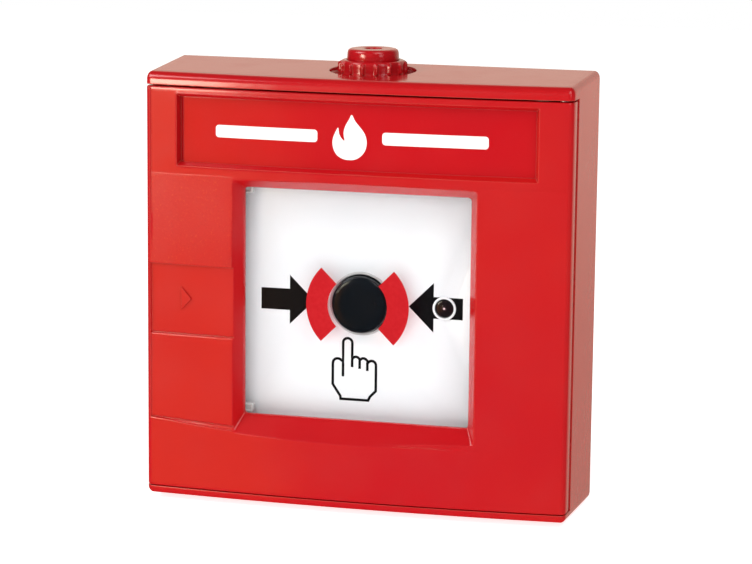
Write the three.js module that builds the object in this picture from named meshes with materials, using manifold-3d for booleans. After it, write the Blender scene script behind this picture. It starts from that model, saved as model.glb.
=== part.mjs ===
// Wall-mounted manual call point with a hinged front door, a breakable pane and a push button.
// Units are millimetres. The origin is the centre of the back plane, +Z is up, the front faces -Y.
import * as THREE from 'three';
import { mergeVertices } from 'three/addons/utils/BufferGeometryUtils.js';
import Module from 'manifold-3d';

const wasm = await Module();
wasm.setup();

// ---------------------------------------------------------------- driving dimensions
const BACK_HALF = 67.5; // half width and half height of the housing at the wall
const FRONT_HALF_X = 66.5; // half width at the front edge
const FRONT_HALF_Z = 66.25; // half height at the front edge
const EDGE_DEPTH = 37; // wall to front edge
const BULGE = 3.1; // how far the front stands proud at mid width
const CORNER = 2.5; // radius of the housing's corners
const WALL = 2.2; // moulded wall thickness
const GAP = 0.3; // clearance between neighbouring pieces
const SEAM = 0.5; // visible seam round the door

const DOOR_TOP = 61.95;
const DOOR_BOTTOM = -63.95;
const SKIRT_REAR = 29.7; // distance of the door skirt's rear edge from the wall
const RIM = SKIRT_REAR - GAP; // distance of the housing rim from the wall

const HINGE_X = 62.9;
const HINGE_Y = -33.2;
const KNUCKLE_RADIUS = 3.6;
const HINGE_SWEEP = 5.0; // radius that the door's corner sweeps round the hinge
const PIN_RADIUS = 1.2;

const CENTRE_Z = -3.75; // height of the window, button and symbols
const OPENING_HALF = 35.5; // half side of the window opening
const LIP_FRONT = 34.6; // distance of the window lip's front from the wall
const LIP_REAR = 33.1;
const BEVEL_RATE = 3.5 / 4.5; // window bevel: sideways growth for each mm towards the front
const PANE_HALF = 40;
const PANE_FRONT = 32.9;
const PANE_THICKNESS = 1.0;
const FRAME_HALF = 43; // half side of the frame behind the window
const FRAME_REAR = 30.2;

const LABEL_HALF_X = 56.3;
const LABEL_HALF_Z = 11.15;
const LABEL_Z = 48.9;
const LABEL_DEPTH = 2.1; // recess depth down to the insert
const INSERT_THICKNESS = 0.9;

const PLATE_FRONT = 28; // distance of the white face plate's front from the wall
const PLATE_THICKNESS = 1.5;
const PLATE_HALF = 43.5;
const CARRIER_HALF = 47;
const CARRIER_FRONT = 21.2;
const CARRIER_THICKNESS = 1.5;
const LEG_OFFSET = 41.8;

const BUTTON_RADIUS = 8.8;
const BUTTON_FRONT = 31.2;
const STEM_RADIUS = 2.5;
const STEM_TIP = 16.2;
const LEVER_PIVOT_X = 17;
const LEVER_PIVOT_Y = -12.6;
const LEVER_REST = THREE.MathUtils.degToRad(10);

const LED_X = 26.2;
const GLAND_Y = -16.5;
const GLAND_RIBS = 15;
const LATCH_Z = -3.9;

const ROUND = 24; // sides of a round piece
const SMALL_ROUND = 12; // sides of a screw or pin
const STEPS_PER_TURN = 10; // straight lengths in one turn of a spring

// ---------------------------------------------------------------- colours
const RED = { color: 0xcf1f26, roughness: 0.22, metalness: 0 };
const WHITE = { color: 0xf4f5f6, roughness: 0.35, metalness: 0 };
const BLACK = { color: 0x0c0e11, roughness: 0.35, metalness: 0 };
const DARK_GREY = { color: 0x2b2d30, roughness: 0.5, metalness: 0 };
const LIGHT_GREY = { color: 0xc9cbcd, roughness: 0.4, metalness: 0 };
const BLUE = { color: 0x2c62a8, roughness: 0.45, metalness: 0 };
const BOARD_GREEN = { color: 0x1d6b43, roughness: 0.45, metalness: 0 };
const STEEL = { color: 0xb9bcc0, roughness: 0.3, metalness: 1 };
const RUBBER = { color: 0x17181a, roughness: 0.85, metalness: 0 };
const CLEAR = { color: 0xe8f1f2, roughness: 0.05, metalness: 0, transparent: true, opacity: 0.3 };

// ---------------------------------------------------------------- mesh and solid helpers
function signedVolume(points, index) {
  const a = new THREE.Vector3();
  const b = new THREE.Vector3();
  const c = new THREE.Vector3();
  let volume = 0;
  for (let i = 0; i < index.length; i += 3) {
    a.fromBufferAttribute(points, index[i]);
    b.fromBufferAttribute(points, index[i + 1]);
    c.fromBufferAttribute(points, index[i + 2]);
    volume += a.dot(b.cross(c)) / 6;
  }
  return volume;
}

// A closed, outward-facing solid from any three.js geometry of one closed surface.
function toSolid(geometry) {
  const bare = geometry.clone();
  bare.deleteAttribute('normal');
  bare.deleteAttribute('uv');
  const merged = mergeVertices(bare, 1e-4);
  const points = merged.attributes.position;
  const all = Array.from(merged.index.array);
  const kept = [];
  for (let i = 0; i < all.length; i += 3) {
    const [p, q, r] = all.slice(i, i + 3);
    if (p !== q && q !== r && r !== p) kept.push(p, q, r);
  }
  if (signedVolume(points, kept) < 0) kept.reverse();
  const mesh = new wasm.Mesh({
    numProp: 3,
    vertProperties: Float32Array.from(points.array),
    triVerts: Uint32Array.from(kept),
  });
  return new wasm.Manifold(mesh);
}

function toGeometry(solid) {
  const mesh = solid.getMesh();
  const geometry = new THREE.BufferGeometry();
  geometry.setAttribute('position', new THREE.BufferAttribute(mesh.vertProperties, 3));
  geometry.setIndex(new THREE.BufferAttribute(mesh.triVerts, 1));
  geometry.computeVertexNormals();
  return geometry;
}

const join = (...geometries) => geometries.map(toSolid).reduce((sum, next) => sum.add(next));
const cut = (solid, ...tools) => tools.map(toSolid).reduce((rest, tool) => rest.subtract(tool), solid);

// ---------------------------------------------------------------- shape helpers
function block([x0, x1], [y0, y1], [z0, z1]) {
  const geometry = new THREE.BoxGeometry(x1 - x0, y1 - y0, z1 - z0);
  return geometry.translate((x0 + x1) / 2, (y0 + y1) / 2, (z0 + z1) / 2);
}

function outline(points) {
  return new THREE.Shape(points.map(([u, v]) => new THREE.Vector2(u, v)));
}

function roundedRectangle(halfU, halfV, radius, centreV = 0) {
  const shape = new THREE.Shape();
  const u = halfU - radius;
  const v = halfV - radius;
  shape.absarc(u, centreV - v, radius, -Math.PI / 2, 0);
  shape.absarc(u, centreV + v, radius, 0, Math.PI / 2);
  shape.absarc(-u, centreV + v, radius, Math.PI / 2, Math.PI);
  shape.absarc(-u, centreV - v, radius, Math.PI, 1.5 * Math.PI);
  return shape;
}

// An X-Z outline swept along Y, between two distances from the wall.
function alongY(shape, far, near, arcSteps = 4) {
  const options = { depth: far - near, bevelEnabled: false, curveSegments: arcSteps };
  const geometry = new THREE.ExtrudeGeometry(shape, options);
  geometry.rotateX(Math.PI / 2);
  return geometry.translate(0, -near, 0);
}

// An X-Y outline swept along Z.
function alongZ(shape, z0, z1, arcSteps = 6) {
  const options = { depth: z1 - z0, bevelEnabled: false, curveSegments: arcSteps };
  return new THREE.ExtrudeGeometry(shape, options).translate(0, 0, z0);
}

// A turned piece from [radius, height] points. The profile closes on itself or on the axis.
function turned(profile, sides) {
  const points = profile.map(([radius, height]) => new THREE.Vector2(radius, height));
  return new THREE.LatheGeometry(points, sides);
}

// Turned pieces whose axis runs along Y: heights are Y values.
const turnedY = (profile, x, z, sides = ROUND) => turned(profile, sides).translate(x, 0, z);
// Turned pieces whose axis runs along Z: heights are Z values.
const turnedZ = (profile, x, y, sides = ROUND) => turned(profile, sides).rotateX(Math.PI / 2).translate(x, y, 0);

const rod = (radius, from, to) => [[0, from], [radius, from], [radius, to], [0, to]];
const tube = (inner, outer, from, to) => [[inner, from], [outer, from], [outer, to], [inner, to], [inner, from]];

// Moves a vertex sideways by amount, away from the centre line.
const outward = (value, centre, amount) => value + Math.sign(value - centre) * amount;

// Side draft: the housing narrows from the wall to the front edge.
function draft(geometry) {
  const points = geometry.attributes.position;
  for (let i = 0; i < points.count; i++) {
    const forward = -points.getY(i) / EDGE_DEPTH;
    points.setX(i, outward(points.getX(i), 0, (FRONT_HALF_X - BACK_HALF) * forward));
    points.setZ(i, outward(points.getZ(i), 0, (FRONT_HALF_Z - BACK_HALF) * forward));
  }
  return geometry;
}

// Flare: everything nearer than a given distance grows by amount.
function flare(geometry, distance, amount, centreZ) {
  const points = geometry.attributes.position;
  for (let i = 0; i < points.count; i++) {
    if (-points.getY(i) > distance) {
      points.setX(i, outward(points.getX(i), 0, amount));
      points.setZ(i, outward(points.getZ(i), centreZ, amount));
    }
  }
  return geometry;
}

// Rounded envelope of the housing between two distances from the wall.
function envelope(far, near, inset = 0) {
  const half = BACK_HALF - inset;
  return draft(alongY(roundedRectangle(half, half, CORNER), far, near));
}

const frontY = (x) => -EDGE_DEPTH - BULGE * (1 - (x / FRONT_HALF_X) ** 2);

// Points along the convex front, sunk by a given depth, from left to right.
function frontCurve(left, right, depth, steps = 24) {
  const points = [];
  for (let i = 0; i <= steps; i++) {
    const x = left + ((right - left) * i) / steps;
    points.push([x, frontY(x) + depth]);
  }
  return points;
}

// A slab that follows the front between two depths below it.
function frontSlab([left, right], [outer, inner], [z0, z1], steps = 24) {
  const near = frontCurve(left, right, outer, steps);
  const far = frontCurve(left, right, inner, steps).reverse();
  return alongZ(outline([...near, ...far]), z0, z1);
}

class Helix extends THREE.Curve {
  constructor(radius, from, to, turns) {
    super();
    Object.assign(this, { radius, from, to, turns });
  }

  getPoint(t, target = new THREE.Vector3()) {
    const angle = 2 * Math.PI * this.turns * t;
    const height = THREE.MathUtils.lerp(this.from, this.to, t);
    return target.set(this.radius * Math.cos(angle), this.radius * Math.sin(angle), height);
  }
}

// A coil spring whose axis is Z and whose ends lie between two heights.
function coil(radius, wire, from, to, turns) {
  const path = new Helix(radius, from + wire, to - wire, turns);
  const section = new THREE.Shape().absarc(0, 0, wire, 0, 2 * Math.PI);
  const options = { steps: turns * STEPS_PER_TURN, curveSegments: 3, extrudePath: path, bevelEnabled: false };
  return new THREE.ExtrudeGeometry(section, options);
}

// ---------------------------------------------------------------- mesh making
function piece(name, shape, finish) {
  const solid = shape instanceof THREE.BufferGeometry ? toSolid(shape) : shape;
  const mesh = new THREE.Mesh(toGeometry(solid), new THREE.MeshStandardMaterial(finish));
  mesh.name = name;
  return mesh;
}

// ---------------------------------------------------------------- housing
function makeBackBox() {
  const hood = frontSlab([-FRONT_HALF_X, FRONT_HALF_X], [0, 12], [DOOR_TOP + SEAM, BACK_HALF]);
  const sill = frontSlab([-FRONT_HALF_X, FRONT_HALF_X], [0, 12], [-BACK_HALF, DOOR_BOTTOM - SEAM]);
  const tray = cut(toSolid(envelope(RIM, 0)), envelope(RIM + 1, WALL, WALL));
  const glandBoss = turnedZ(rod(15.5, 62.5, BACK_HALF), 0, GLAND_Y);
  const pinBoss = block([HINGE_X - 4.4, FRONT_HALF_X], [HINGE_Y - 3.5, HINGE_Y + 5], [DOOR_TOP + SEAM, 66]);
  const solid = tray.add(join(hood, sill)).add(toSolid(glandBoss)).add(toSolid(pinBoss));
  const boardBosses = [];
  for (const x of [-31, 31]) {
    for (const z of [-41, 53]) boardBosses.push(turnedY(rod(3, -3.7, -1), x, z, SMALL_ROUND));
  }
  const shaped = solid.add(join(...boardBosses)).intersect(toSolid(envelope(EDGE_DEPTH + 6, 0)));
  const holes = [
    turnedZ(rod(13.4, 65.5, 70), 0, GLAND_Y, 32),
    turnedZ(rod(8.4, 60, 70), 0, GLAND_Y),
    turnedZ(rod(HINGE_SWEEP, DOOR_BOTTOM - SEAM, DOOR_TOP + SEAM), HINGE_X, HINGE_Y, 32),
    turnedZ(rod(PIN_RADIUS + GAP, 60, 65.2), HINGE_X, HINGE_Y, SMALL_ROUND),
    turnedZ(rod(PIN_RADIUS + GAP, -65.7, -62), HINGE_X, HINGE_Y, SMALL_ROUND),
    block([-60, -44], [-4, 1], [44.5, 58.5]),
  ];
  for (const [x, z] of [[-50, -57], [50, -57], [50, 57]]) {
    holes.push(turnedY([[0, -4], [4.2, -4], [4.2, -1.9], [2.3, -1], [2.3, 1], [0, 1]], x, z, SMALL_ROUND));
  }
  for (const x of [-31, 31]) {
    for (const z of [-41, 53]) holes.push(turnedY(rod(1.3, -5, -1), x, z, SMALL_ROUND));
  }
  for (const x of [-LEG_OFFSET, LEG_OFFSET]) {
    for (const z of [-LEG_OFFSET, LEG_OFFSET]) {
      holes.push(turnedY(rod(1.9, -5, -0.8), x, CENTRE_Z + z, SMALL_ROUND));
    }
  }
  return piece('back_box', cut(shaped, ...holes), RED);
}

const makeHingePin = (name, from, to) =>
  piece(name, turnedZ(rod(PIN_RADIUS, from, to), HINGE_X, HINGE_Y, SMALL_ROUND), STEEL);

function makeLatchKeeper() {
  const foot = block([-64.2, -62.2], [-31, -18], [LATCH_Z - 5, LATCH_Z + 5]);
  const ledge = block([-64.2, -60], [-31, -28.6], [LATCH_Z - 5, LATCH_Z + 5]);
  return piece('latch_keeper', join(foot, ledge), STEEL);
}

// ---------------------------------------------------------------- cable gland
function makeGland() {
  const group = new THREE.Group();
  const collar = turnedZ(
    [[5.6, 66.35], [10.4, 66.35], [10.4, 68.9], [9.9, 69.4], [6.3, 69.4], [6.3, 70.9], [5.6, 70.9], [5.6, 66.35]],
    0, GLAND_Y, 2 * GLAND_RIBS,
  );
  const thread = turnedZ(tube(5.6, 8, 56.5, 66.6), 0, GLAND_Y);
  const ribs = [];
  for (let i = 0; i < GLAND_RIBS; i++) {
    const angle = (2 * Math.PI * (i + 0.1)) / GLAND_RIBS;
    const rib = block([9.9, 10.75], [-0.8, 0.8], [66.5, 68.9]);
    ribs.push(rib.rotateZ(angle).translate(0, GLAND_Y, 0));
  }
  group.add(piece('gland_body', join(collar, thread, ...ribs), RED));
  const cap = [
    [6.6, 69.6], [8, 69.6], [7.85, 72.3], [7.4, 73.2], [6.4, 73.7],
    [2.6, 73.7], [2.6, 72.2], [6.6, 72.2], [6.6, 69.6],
  ];
  group.add(piece('gland_cap', turnedZ(cap, 0, GLAND_Y), RED));
  group.add(piece('gland_seal', turnedZ(tube(2.5, 5.3, 64, 71.9), 0, GLAND_Y), RUBBER));
  group.add(piece('gland_gasket', turnedZ(tube(8.3, 11.6, 65.6, 66.25), 0, GLAND_Y), RUBBER));
  const nut = toSolid(turnedZ(rod(11.8, 57.8, 62.2), 0, GLAND_Y, 6));
  group.add(piece('gland_nut', cut(nut, turnedZ(rod(8.4, 57, 63), 0, GLAND_Y)), DARK_GREY));
  return group;
}

// ---------------------------------------------------------------- door
function makeDoorShell() {
  const side = frontCurve(-65.6, 65.6, 0);
  const knuckle = [];
  for (let i = 0; i <= 6; i++) {
    const angle = (Math.PI / 2) * (i / 6);
    knuckle.push([HINGE_X + KNUCKLE_RADIUS * Math.cos(angle), HINGE_Y + KNUCKLE_RADIUS * Math.sin(angle)]);
  }
  const profile = outline([
    [-66.6, -SKIRT_REAR], [-FRONT_HALF_X, -36.2], [-66.2, -36.9], ...side,
    [66.2, -36.9], [FRONT_HALF_X, -36.2], ...knuckle,
  ]);
  const outer = toSolid(alongZ(profile, DOOR_BOTTOM, DOOR_TOP));
  const cavityLeft = -FRONT_HALF_X + 2;
  const cavityRight = HINGE_X - KNUCKLE_RADIUS;
  const cavity = outline([...frontCurve(cavityLeft, cavityRight, WALL), [cavityRight, -20], [cavityLeft, -20]]);
  const shell = cut(outer, alongZ(cavity, DOOR_BOTTOM + 1.8, DOOR_TOP - 1.8));
  const frameZ = [CENTRE_Z - FRAME_HALF, CENTRE_Z + FRAME_HALF];
  const inner = join(
    block([-FRAME_HALF, FRAME_HALF], [-41, -FRAME_REAR], frameZ),
    frontSlab([-59, 59], [1, 5.4], [36.4, 61]),
    block([-58, -46], [-38, -31.5], [LATCH_Z - 6.2, LATCH_Z - 5.3]),
    block([-58, -46], [-38, -31.5], [LATCH_Z + 5.3, LATCH_Z + 6.2]),
  ).intersect(outer);
  const window = alongY(roundedRectangle(OPENING_HALF, OPENING_HALF, 1, CENTRE_Z), 42, LIP_FRONT);
  const bevelGrowth = (42 - LIP_FRONT) * BEVEL_RATE;
  const label = alongY(roundedRectangle(LABEL_HALF_X - 1.2, LABEL_HALF_Z - 1.2, 0.8, LABEL_Z), 43, 30);
  const labelBed = frontSlab([-57, 57], [-3, LABEL_DEPTH + INSERT_THICKNESS + GAP], [30, 61.5]);
  const labelCut = toSolid(labelBed).intersect(toSolid(label));
  const labelFlare = flare(
    alongY(roundedRectangle(LABEL_HALF_X - 1.2, LABEL_HALF_Z - 1.2, 0.8, LABEL_Z), 42.1, 36.1), 37, 1.3, LABEL_Z,
  );
  const labelMouth = toSolid(labelFlare).intersect(toSolid(frontSlab([-60, 60], [-3, LABEL_DEPTH], [30, 61.5])));
  const paneZ = [CENTRE_Z - PANE_HALF - 0.4, CENTRE_Z + PANE_HALF + 0.4];
  const openings = [
    flare(window, 40, bevelGrowth, CENTRE_Z),
    alongY(roundedRectangle(OPENING_HALF, OPENING_HALF, 1, CENTRE_Z), 36, 30),
    block([-PANE_HALF - 0.4, PANE_HALF + 0.4], [-LIP_REAR, -25], paneZ),
    turnedZ(rod(PIN_RADIUS + GAP, 56, 70), HINGE_X, HINGE_Y, SMALL_ROUND),
    turnedZ(rod(PIN_RADIUS + GAP, -70, -58), HINGE_X, HINGE_Y, SMALL_ROUND),
    frontSlab([-68, -40], [-2, 0.5], [-14.75, 7.05], 4),
    block([-68, -63], [-34.8, -32.6], [LATCH_Z - 4, LATCH_Z + 4]),
  ];
  const solid = cut(shell.add(inner), ...openings).subtract(labelCut).subtract(labelMouth);
  return piece('door_shell', solid, RED);
}

function makeLabelInsert() {
  const slab = frontSlab([-54.8, 54.8], [LABEL_DEPTH, LABEL_DEPTH + INSERT_THICKNESS], [39.3, 58.5]);
  return piece('label_insert', slab, RED);
}

function makePane() {
  const shape = roundedRectangle(PANE_HALF, PANE_HALF, 0.6, CENTRE_Z);
  return piece('glass_pane', alongY(shape, PANE_FRONT, PANE_FRONT - PANE_THICKNESS, 2), CLEAR);
}

// Sprung strips that press the pane forward against the lip.
function makePaneRetainer(name, side) {
  const points = [[42.8, -29.9], [42.8, -29.3], [37, -29.3], [37, -31.7], [37.7, -31.7], [37.7, -29.9]];
  const shape = outline(points.map(([x, y]) => [side * x, y]));
  return piece(name, alongZ(shape, CENTRE_Z - 33, CENTRE_Z + 33), STEEL);
}

function makePaneClips() {
  const group = new THREE.Group();
  const corners = [['top_left', -1, 1], ['top_right', 1, 1], ['bottom_left', -1, -1], ['bottom_right', 1, -1]];
  for (const [place, sideX, sideZ] of corners) {
    const shape = roundedRectangle(1.6, 1.5, 1.4);
    const clip = piece(`pane_clip_${place}`, alongY(shape, 31.7, 29.4), LIGHT_GREY);
    clip.position.set(sideX * 35.2, 0, CENTRE_Z + sideZ * 34.4);
    group.add(clip);
  }
  return group;
}

function makeLatch() {
  const group = new THREE.Group();
  const bar = block([-61.6, -48], [-34.6, -32.5], [LATCH_Z - 3.6, LATCH_Z + 3.6]);
  const post = block([-57.4, -55.2], [-33, -26], [LATCH_Z - 3.6, LATCH_Z + 3.6]);
  const hook = block([-59.4, -55.2], [-28.2, -26], [LATCH_Z - 3.6, LATCH_Z + 3.6]);
  group.add(piece('latch_bar', join(bar, post, hook), LIGHT_GREY));
  const cover = block([-54.6, -44], [-31.2, -30.4], [LATCH_Z - 6.2, LATCH_Z + 6.2]);
  group.add(piece('latch_cover', cover, DARK_GREY));
  const spring = piece('latch_spring', coil(1.5, 0.25, 0, 4.2, 4), STEEL);
  spring.rotation.y = Math.PI / 2;
  spring.position.set(-47.6, -33.5, LATCH_Z);
  group.add(spring);
  return group;
}

// ---------------------------------------------------------------- inner chassis
function makeCarrier() {
  const rear = CARRIER_FRONT - CARRIER_THICKNESS;
  const shape = roundedRectangle(CARRIER_HALF, CARRIER_HALF, 2, CENTRE_Z);
  const inner = roundedRectangle(CARRIER_HALF - 1.8, CARRIER_HALF - 1.8, 1, CENTRE_Z);
  const tray = cut(toSolid(alongY(shape, 26.2, rear)), alongY(inner, 27, CARRIER_FRONT));
  const legs = [];
  const holes = [];
  for (const x of [-LEG_OFFSET, LEG_OFFSET]) {
    for (const z of [CENTRE_Z - LEG_OFFSET, CENTRE_Z + LEG_OFFSET]) {
      legs.push(turnedY(rod(3.4, -CARRIER_FRONT + 0.5, -WALL - GAP), x, z, SMALL_ROUND));
      holes.push(turnedY(rod(1.9, -24, -1), x, z, SMALL_ROUND));
    }
  }
  const rails = [
    block([-8, -6.4], [-rear - 0.2, -18.2], [CENTRE_Z - 16, CENTRE_Z - 6]),
    block([6.4, 8], [-rear - 0.2, -18.2], [CENTRE_Z - 16, CENTRE_Z - 6]),
    block([5, 9.2], [-rear - 0.2, -16.2], [-42.8, -41.6]),
  ];
  holes.push(turnedY(rod(4.7, -24, -15), 0, CENTRE_Z));
  holes.push(turnedY(rod(3.6, -24, -15), LED_X, CENTRE_Z));
  holes.push(block([-38, -12], [-24, -17], [CENTRE_Z - 30, CENTRE_Z + 30]));
  holes.push(block([12, 38], [-24, -17], [CENTRE_Z + 8, CENTRE_Z + 30]));
  holes.push(block([12, 38], [-24, -17], [CENTRE_Z - 30, CENTRE_Z - 8]));
  return piece('carrier_frame', cut(tray.add(join(...legs, ...rails)), ...holes), LIGHT_GREY);
}

function makeScrew(name, [x, headY, z], headRadius, shankRadius, length) {
  const headHeight = headRadius * 0.55;
  const profile = [
    [0, -headHeight], [headRadius * 0.75, -headHeight], [headRadius, -headHeight * 0.5], [headRadius, 0],
    [shankRadius, 0], [shankRadius, length], [0, length + shankRadius * 0.5],
  ];
  const slotWidth = headRadius * 0.16;
  const slot = headRadius * 0.6;
  const head = toSolid(turnedY(profile, 0, 0, SMALL_ROUND));
  const cross = [
    block([-slot, slot], [-headHeight - 1, -headHeight * 0.5], [-slotWidth, slotWidth]),
    block([-slotWidth, slotWidth], [-headHeight - 1, -headHeight * 0.5], [-slot, slot]),
  ];
  const screw = piece(name, cut(head, ...cross), STEEL);
  screw.position.set(x, headY, z);
  return screw;
}

function makeCarrierScrews() {
  const group = new THREE.Group();
  const spots = [[-LEG_OFFSET, LEG_OFFSET], [LEG_OFFSET, LEG_OFFSET], [-LEG_OFFSET, -LEG_OFFSET], [LEG_OFFSET, -LEG_OFFSET]];
  spots.forEach(([x, z], i) => {
    const place = [x, -CARRIER_FRONT - 0.05, CENTRE_Z + z];
    group.add(makeScrew(`carrier_screw_${i + 1}`, place, 2.6, 1.5, CARRIER_FRONT - 1.8));
  });
  return group;
}

function makeFacePlate() {
  const shape = roundedRectangle(PLATE_HALF, PLATE_HALF, 1.5, CENTRE_Z);
  const plate = toSolid(alongY(shape, PLATE_FRONT, PLATE_FRONT - PLATE_THICKNESS));
  const holes = [
    turnedY(rod(9.1, -30, -25), 0, CENTRE_Z, 32),
    turnedY(rod(3.2, -30, -25), LED_X, CENTRE_Z),
  ];
  return piece('face_plate', cut(plate, ...holes), WHITE);
}

// ---------------------------------------------------------------- button and switch
const makeButtonRing = () =>
  piece('button_ring', turnedY(tube(9.15, 9.9, -28.45, -28.05), 0, CENTRE_Z, 32), LIGHT_GREY);

function makeButtonCap() {
  const profile = [
    [0, -BUTTON_FRONT], [7.6, -BUTTON_FRONT], [8.5, -30.9], [BUTTON_RADIUS, -30.3], [BUTTON_RADIUS, -26.1],
    [10.2, -26.1], [10.2, -25], [7.4, -25], [7.4, -29.4], [3.7, -29.4], [3.7, -27], [2.8, -27], [2.8, -29.4], [0, -29.4],
  ];
  return piece('button_cap', turnedY(profile, 0, CENTRE_Z, 32), BLACK);
}

function makeButtonPlunger() {
  const profile = [
    [0, -29.2], [STEM_RADIUS, -29.2], [STEM_RADIUS, -22.4], [1.9, -22.2], [1.9, -21.2], [STEM_RADIUS, -21],
    [STEM_RADIUS, -STEM_TIP - 2.5], [2.17, -STEM_TIP - 1.25], [1.25, -STEM_TIP - 0.33], [0, -STEM_TIP],
  ];
  return piece('button_plunger', turnedY(profile, 0, CENTRE_Z, 20), WHITE);
}

function makeButtonSpring() {
  const spring = piece('button_spring', coil(5.2, 0.35, 0, 6.5, 4), STEEL);
  spring.rotation.x = -Math.PI / 2;
  spring.position.set(0, -29.1, CENTRE_Z);
  return spring;
}

const makeGuideBush = () =>
  piece(
    'guide_bush',
    turnedY([[2.8, -22.3], [6.4, -22.3], [6.4, -21.4], [4.4, -21.4], [4.4, -19.7], [2.8, -19.7], [2.8, -22.3]], 0, CENTRE_Z),
    WHITE,
  );

function makeResetSlider() {
  const rear = 18.4;
  const strip = block([-4.6, 4.6], [-19.4, -rear], [-53, CENTRE_Z + 8]);
  const tab = block([-6, 6], [-27, -rear], [-54.2, -52.7]);
  const lug = block([4, 9], [-19.4, -16.2], [-33, -31.8]);
  const slot = block([-3, 3], [-21, -17], [CENTRE_Z - 2.9, CENTRE_Z + 4.9]);
  return piece('reset_slider', cut(join(strip, tab, lug), slot), BLUE);
}

function makeResetSpring() {
  const spring = piece('reset_spring', coil(1.4, 0.25, 0, 8.2, 5), STEEL);
  spring.position.set(7.1, -17.7, -41.4);
  return spring;
}

function makeMicroswitch() {
  const group = new THREE.Group();
  const body = join(
    block([6, 18.8], [-11.7, -5.9], [CENTRE_Z - 3.2, CENTRE_Z + 3.2]),
    block([15.8, 18.2], [-13.4, -11], [CENTRE_Z - 3.2, CENTRE_Z - 2.4]),
    block([15.8, 18.2], [-13.4, -11], [CENTRE_Z + 2.4, CENTRE_Z + 3.2]),
  );
  const bore = turnedY(rod(1.3, -14, -10), 13.5, CENTRE_Z, SMALL_ROUND);
  group.add(piece('microswitch_body', cut(body, bore), BLACK));
  const strip = block([-20, 0.2], [-0.2, 0.2], [-2, 2]);
  const barrel = turnedZ(rod(0.7, -2.1, 2.1), 0, 0, SMALL_ROUND);
  const lever = piece('microswitch_lever', join(strip, barrel), STEEL);
  lever.rotation.z = LEVER_REST;
  lever.position.set(LEVER_PIVOT_X, LEVER_PIVOT_Y, CENTRE_Z);
  group.add(lever);
  const tip = turnedY([[0, -12.8], [0.7, -12.75], [1, -12.4], [1, -11], [0, -11]], 13.5, CENTRE_Z, SMALL_ROUND);
  group.add(piece('microswitch_plunger', tip, WHITE));
  return group;
}

// ---------------------------------------------------------------- electronics
function makeBoard() {
  const group = new THREE.Group();
  const board = toSolid(block([-35, 35], [-5.5, -3.9], [-45, 57]));
  const holes = [];
  const spots = [[-31, -41], [31, -41], [-31, 53], [31, 53]];
  for (const [x, z] of spots) holes.push(turnedY(rod(1.5, -7, -2), x, z, SMALL_ROUND));
  group.add(piece('circuit_board', cut(board, ...holes), BOARD_GREEN));
  spots.forEach(([x, z], i) => {
    group.add(makeScrew(`board_screw_${i + 1}`, [x, -5.6, z], 2.2, 1.0, 3));
  });
  const terminal = toSolid(block([-25, 25], [-15.5, -5.8], [45.3, 55]));
  const wells = [];
  for (let i = 0; i < 6; i++) {
    const x = -20 + 8 * i;
    wells.push(turnedY(rod(2.3, -17, -12), x, 50, SMALL_ROUND));
    wells.push(turnedZ(rod(1.7, 51, 57), x, -9, SMALL_ROUND));
    group.add(makeScrew(`terminal_screw_${i + 1}`, [x, -13.6, 50], 1.9, 1.1, 0.7));
  }
  group.add(piece('terminal_block', cut(terminal, ...wells), BLUE));
  const can = [[0, -15.8], [3.6, -15.8], [4, -15.4], [4, -6.6], [3.7, -6.3], [4, -6], [4, -5.8], [0, -5.8]];
  group.add(piece('capacitor', turnedY(can, -24, -30, SMALL_ROUND), DARK_GREY));
  group.add(piece('controller_chip', block([14, 26], [-7.4, -5.8], [-36, -24]), BLACK));
  const choke = [[0, -10], [3.4, -10], [3.4, -8.8], [2.6, -8.8], [2.6, -7], [3.4, -7], [3.4, -5.8], [0, -5.8]];
  group.add(piece('line_choke', turnedY(choke, -24, 20, SMALL_ROUND), DARK_GREY));
  return group;
}

function makeIndicator() {
  const group = new THREE.Group();
  const guide = [[0, -28.8], [1.6, -28.7], [2.6, -28.2], [2.9, -27.9], [2.9, -8.6], [0, -8.6]];
  group.add(piece('led_light_guide', turnedY(guide, LED_X, CENTRE_Z, 24), BLACK));
  group.add(piece('led_ring', turnedY(tube(3.15, 3.6, -28.45, -28.05), LED_X, CENTRE_Z, 24), WHITE));
  group.add(piece('led_chip', block([LED_X - 1.6, LED_X + 1.6], [-8.2, -5.8], [CENTRE_Z - 1.2, CENTRE_Z + 1.2]), WHITE));
  return group;
}

// ---------------------------------------------------------------- assembly
const housing = new THREE.Group();
housing.add(makeBackBox(), makeLatchKeeper(), makeGland());
housing.add(makeHingePin('hinge_pin_top', 57, 65), makeHingePin('hinge_pin_bottom', -65.4, -59));
housing.add(makeCarrier(), makeCarrierScrews(), makeFacePlate(), makeButtonRing(), makeGuideBush());
housing.add(makeBoard(), makeIndicator(), makeMicroswitch());
housing.add(makeResetSlider(), makeResetSpring());

const button = new THREE.Group();
button.add(makeButtonCap(), makeButtonPlunger(), makeButtonSpring());

const door = new THREE.Group();
door.add(makeDoorShell(), makeLabelInsert(), makePane(), makePaneClips(), makeLatch());
door.add(makePaneRetainer('pane_retainer_left', -1), makePaneRetainer('pane_retainer_right', 1));

const callPoint = new THREE.Group();
callPoint.add(housing, button, door);
export default callPoint;
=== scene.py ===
"""A wall-mounted manual call point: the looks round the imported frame.

Shapes are written in millimetres in the frame's own axes and turned into metres as meshes are made.
The origin is the centre of the back plane, +Z is up and the front faces -Y.
"""

import math

import bmesh
import bpy
import numpy as np
from mathutils import Matrix, Vector
from numpy.linalg import norm


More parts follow.
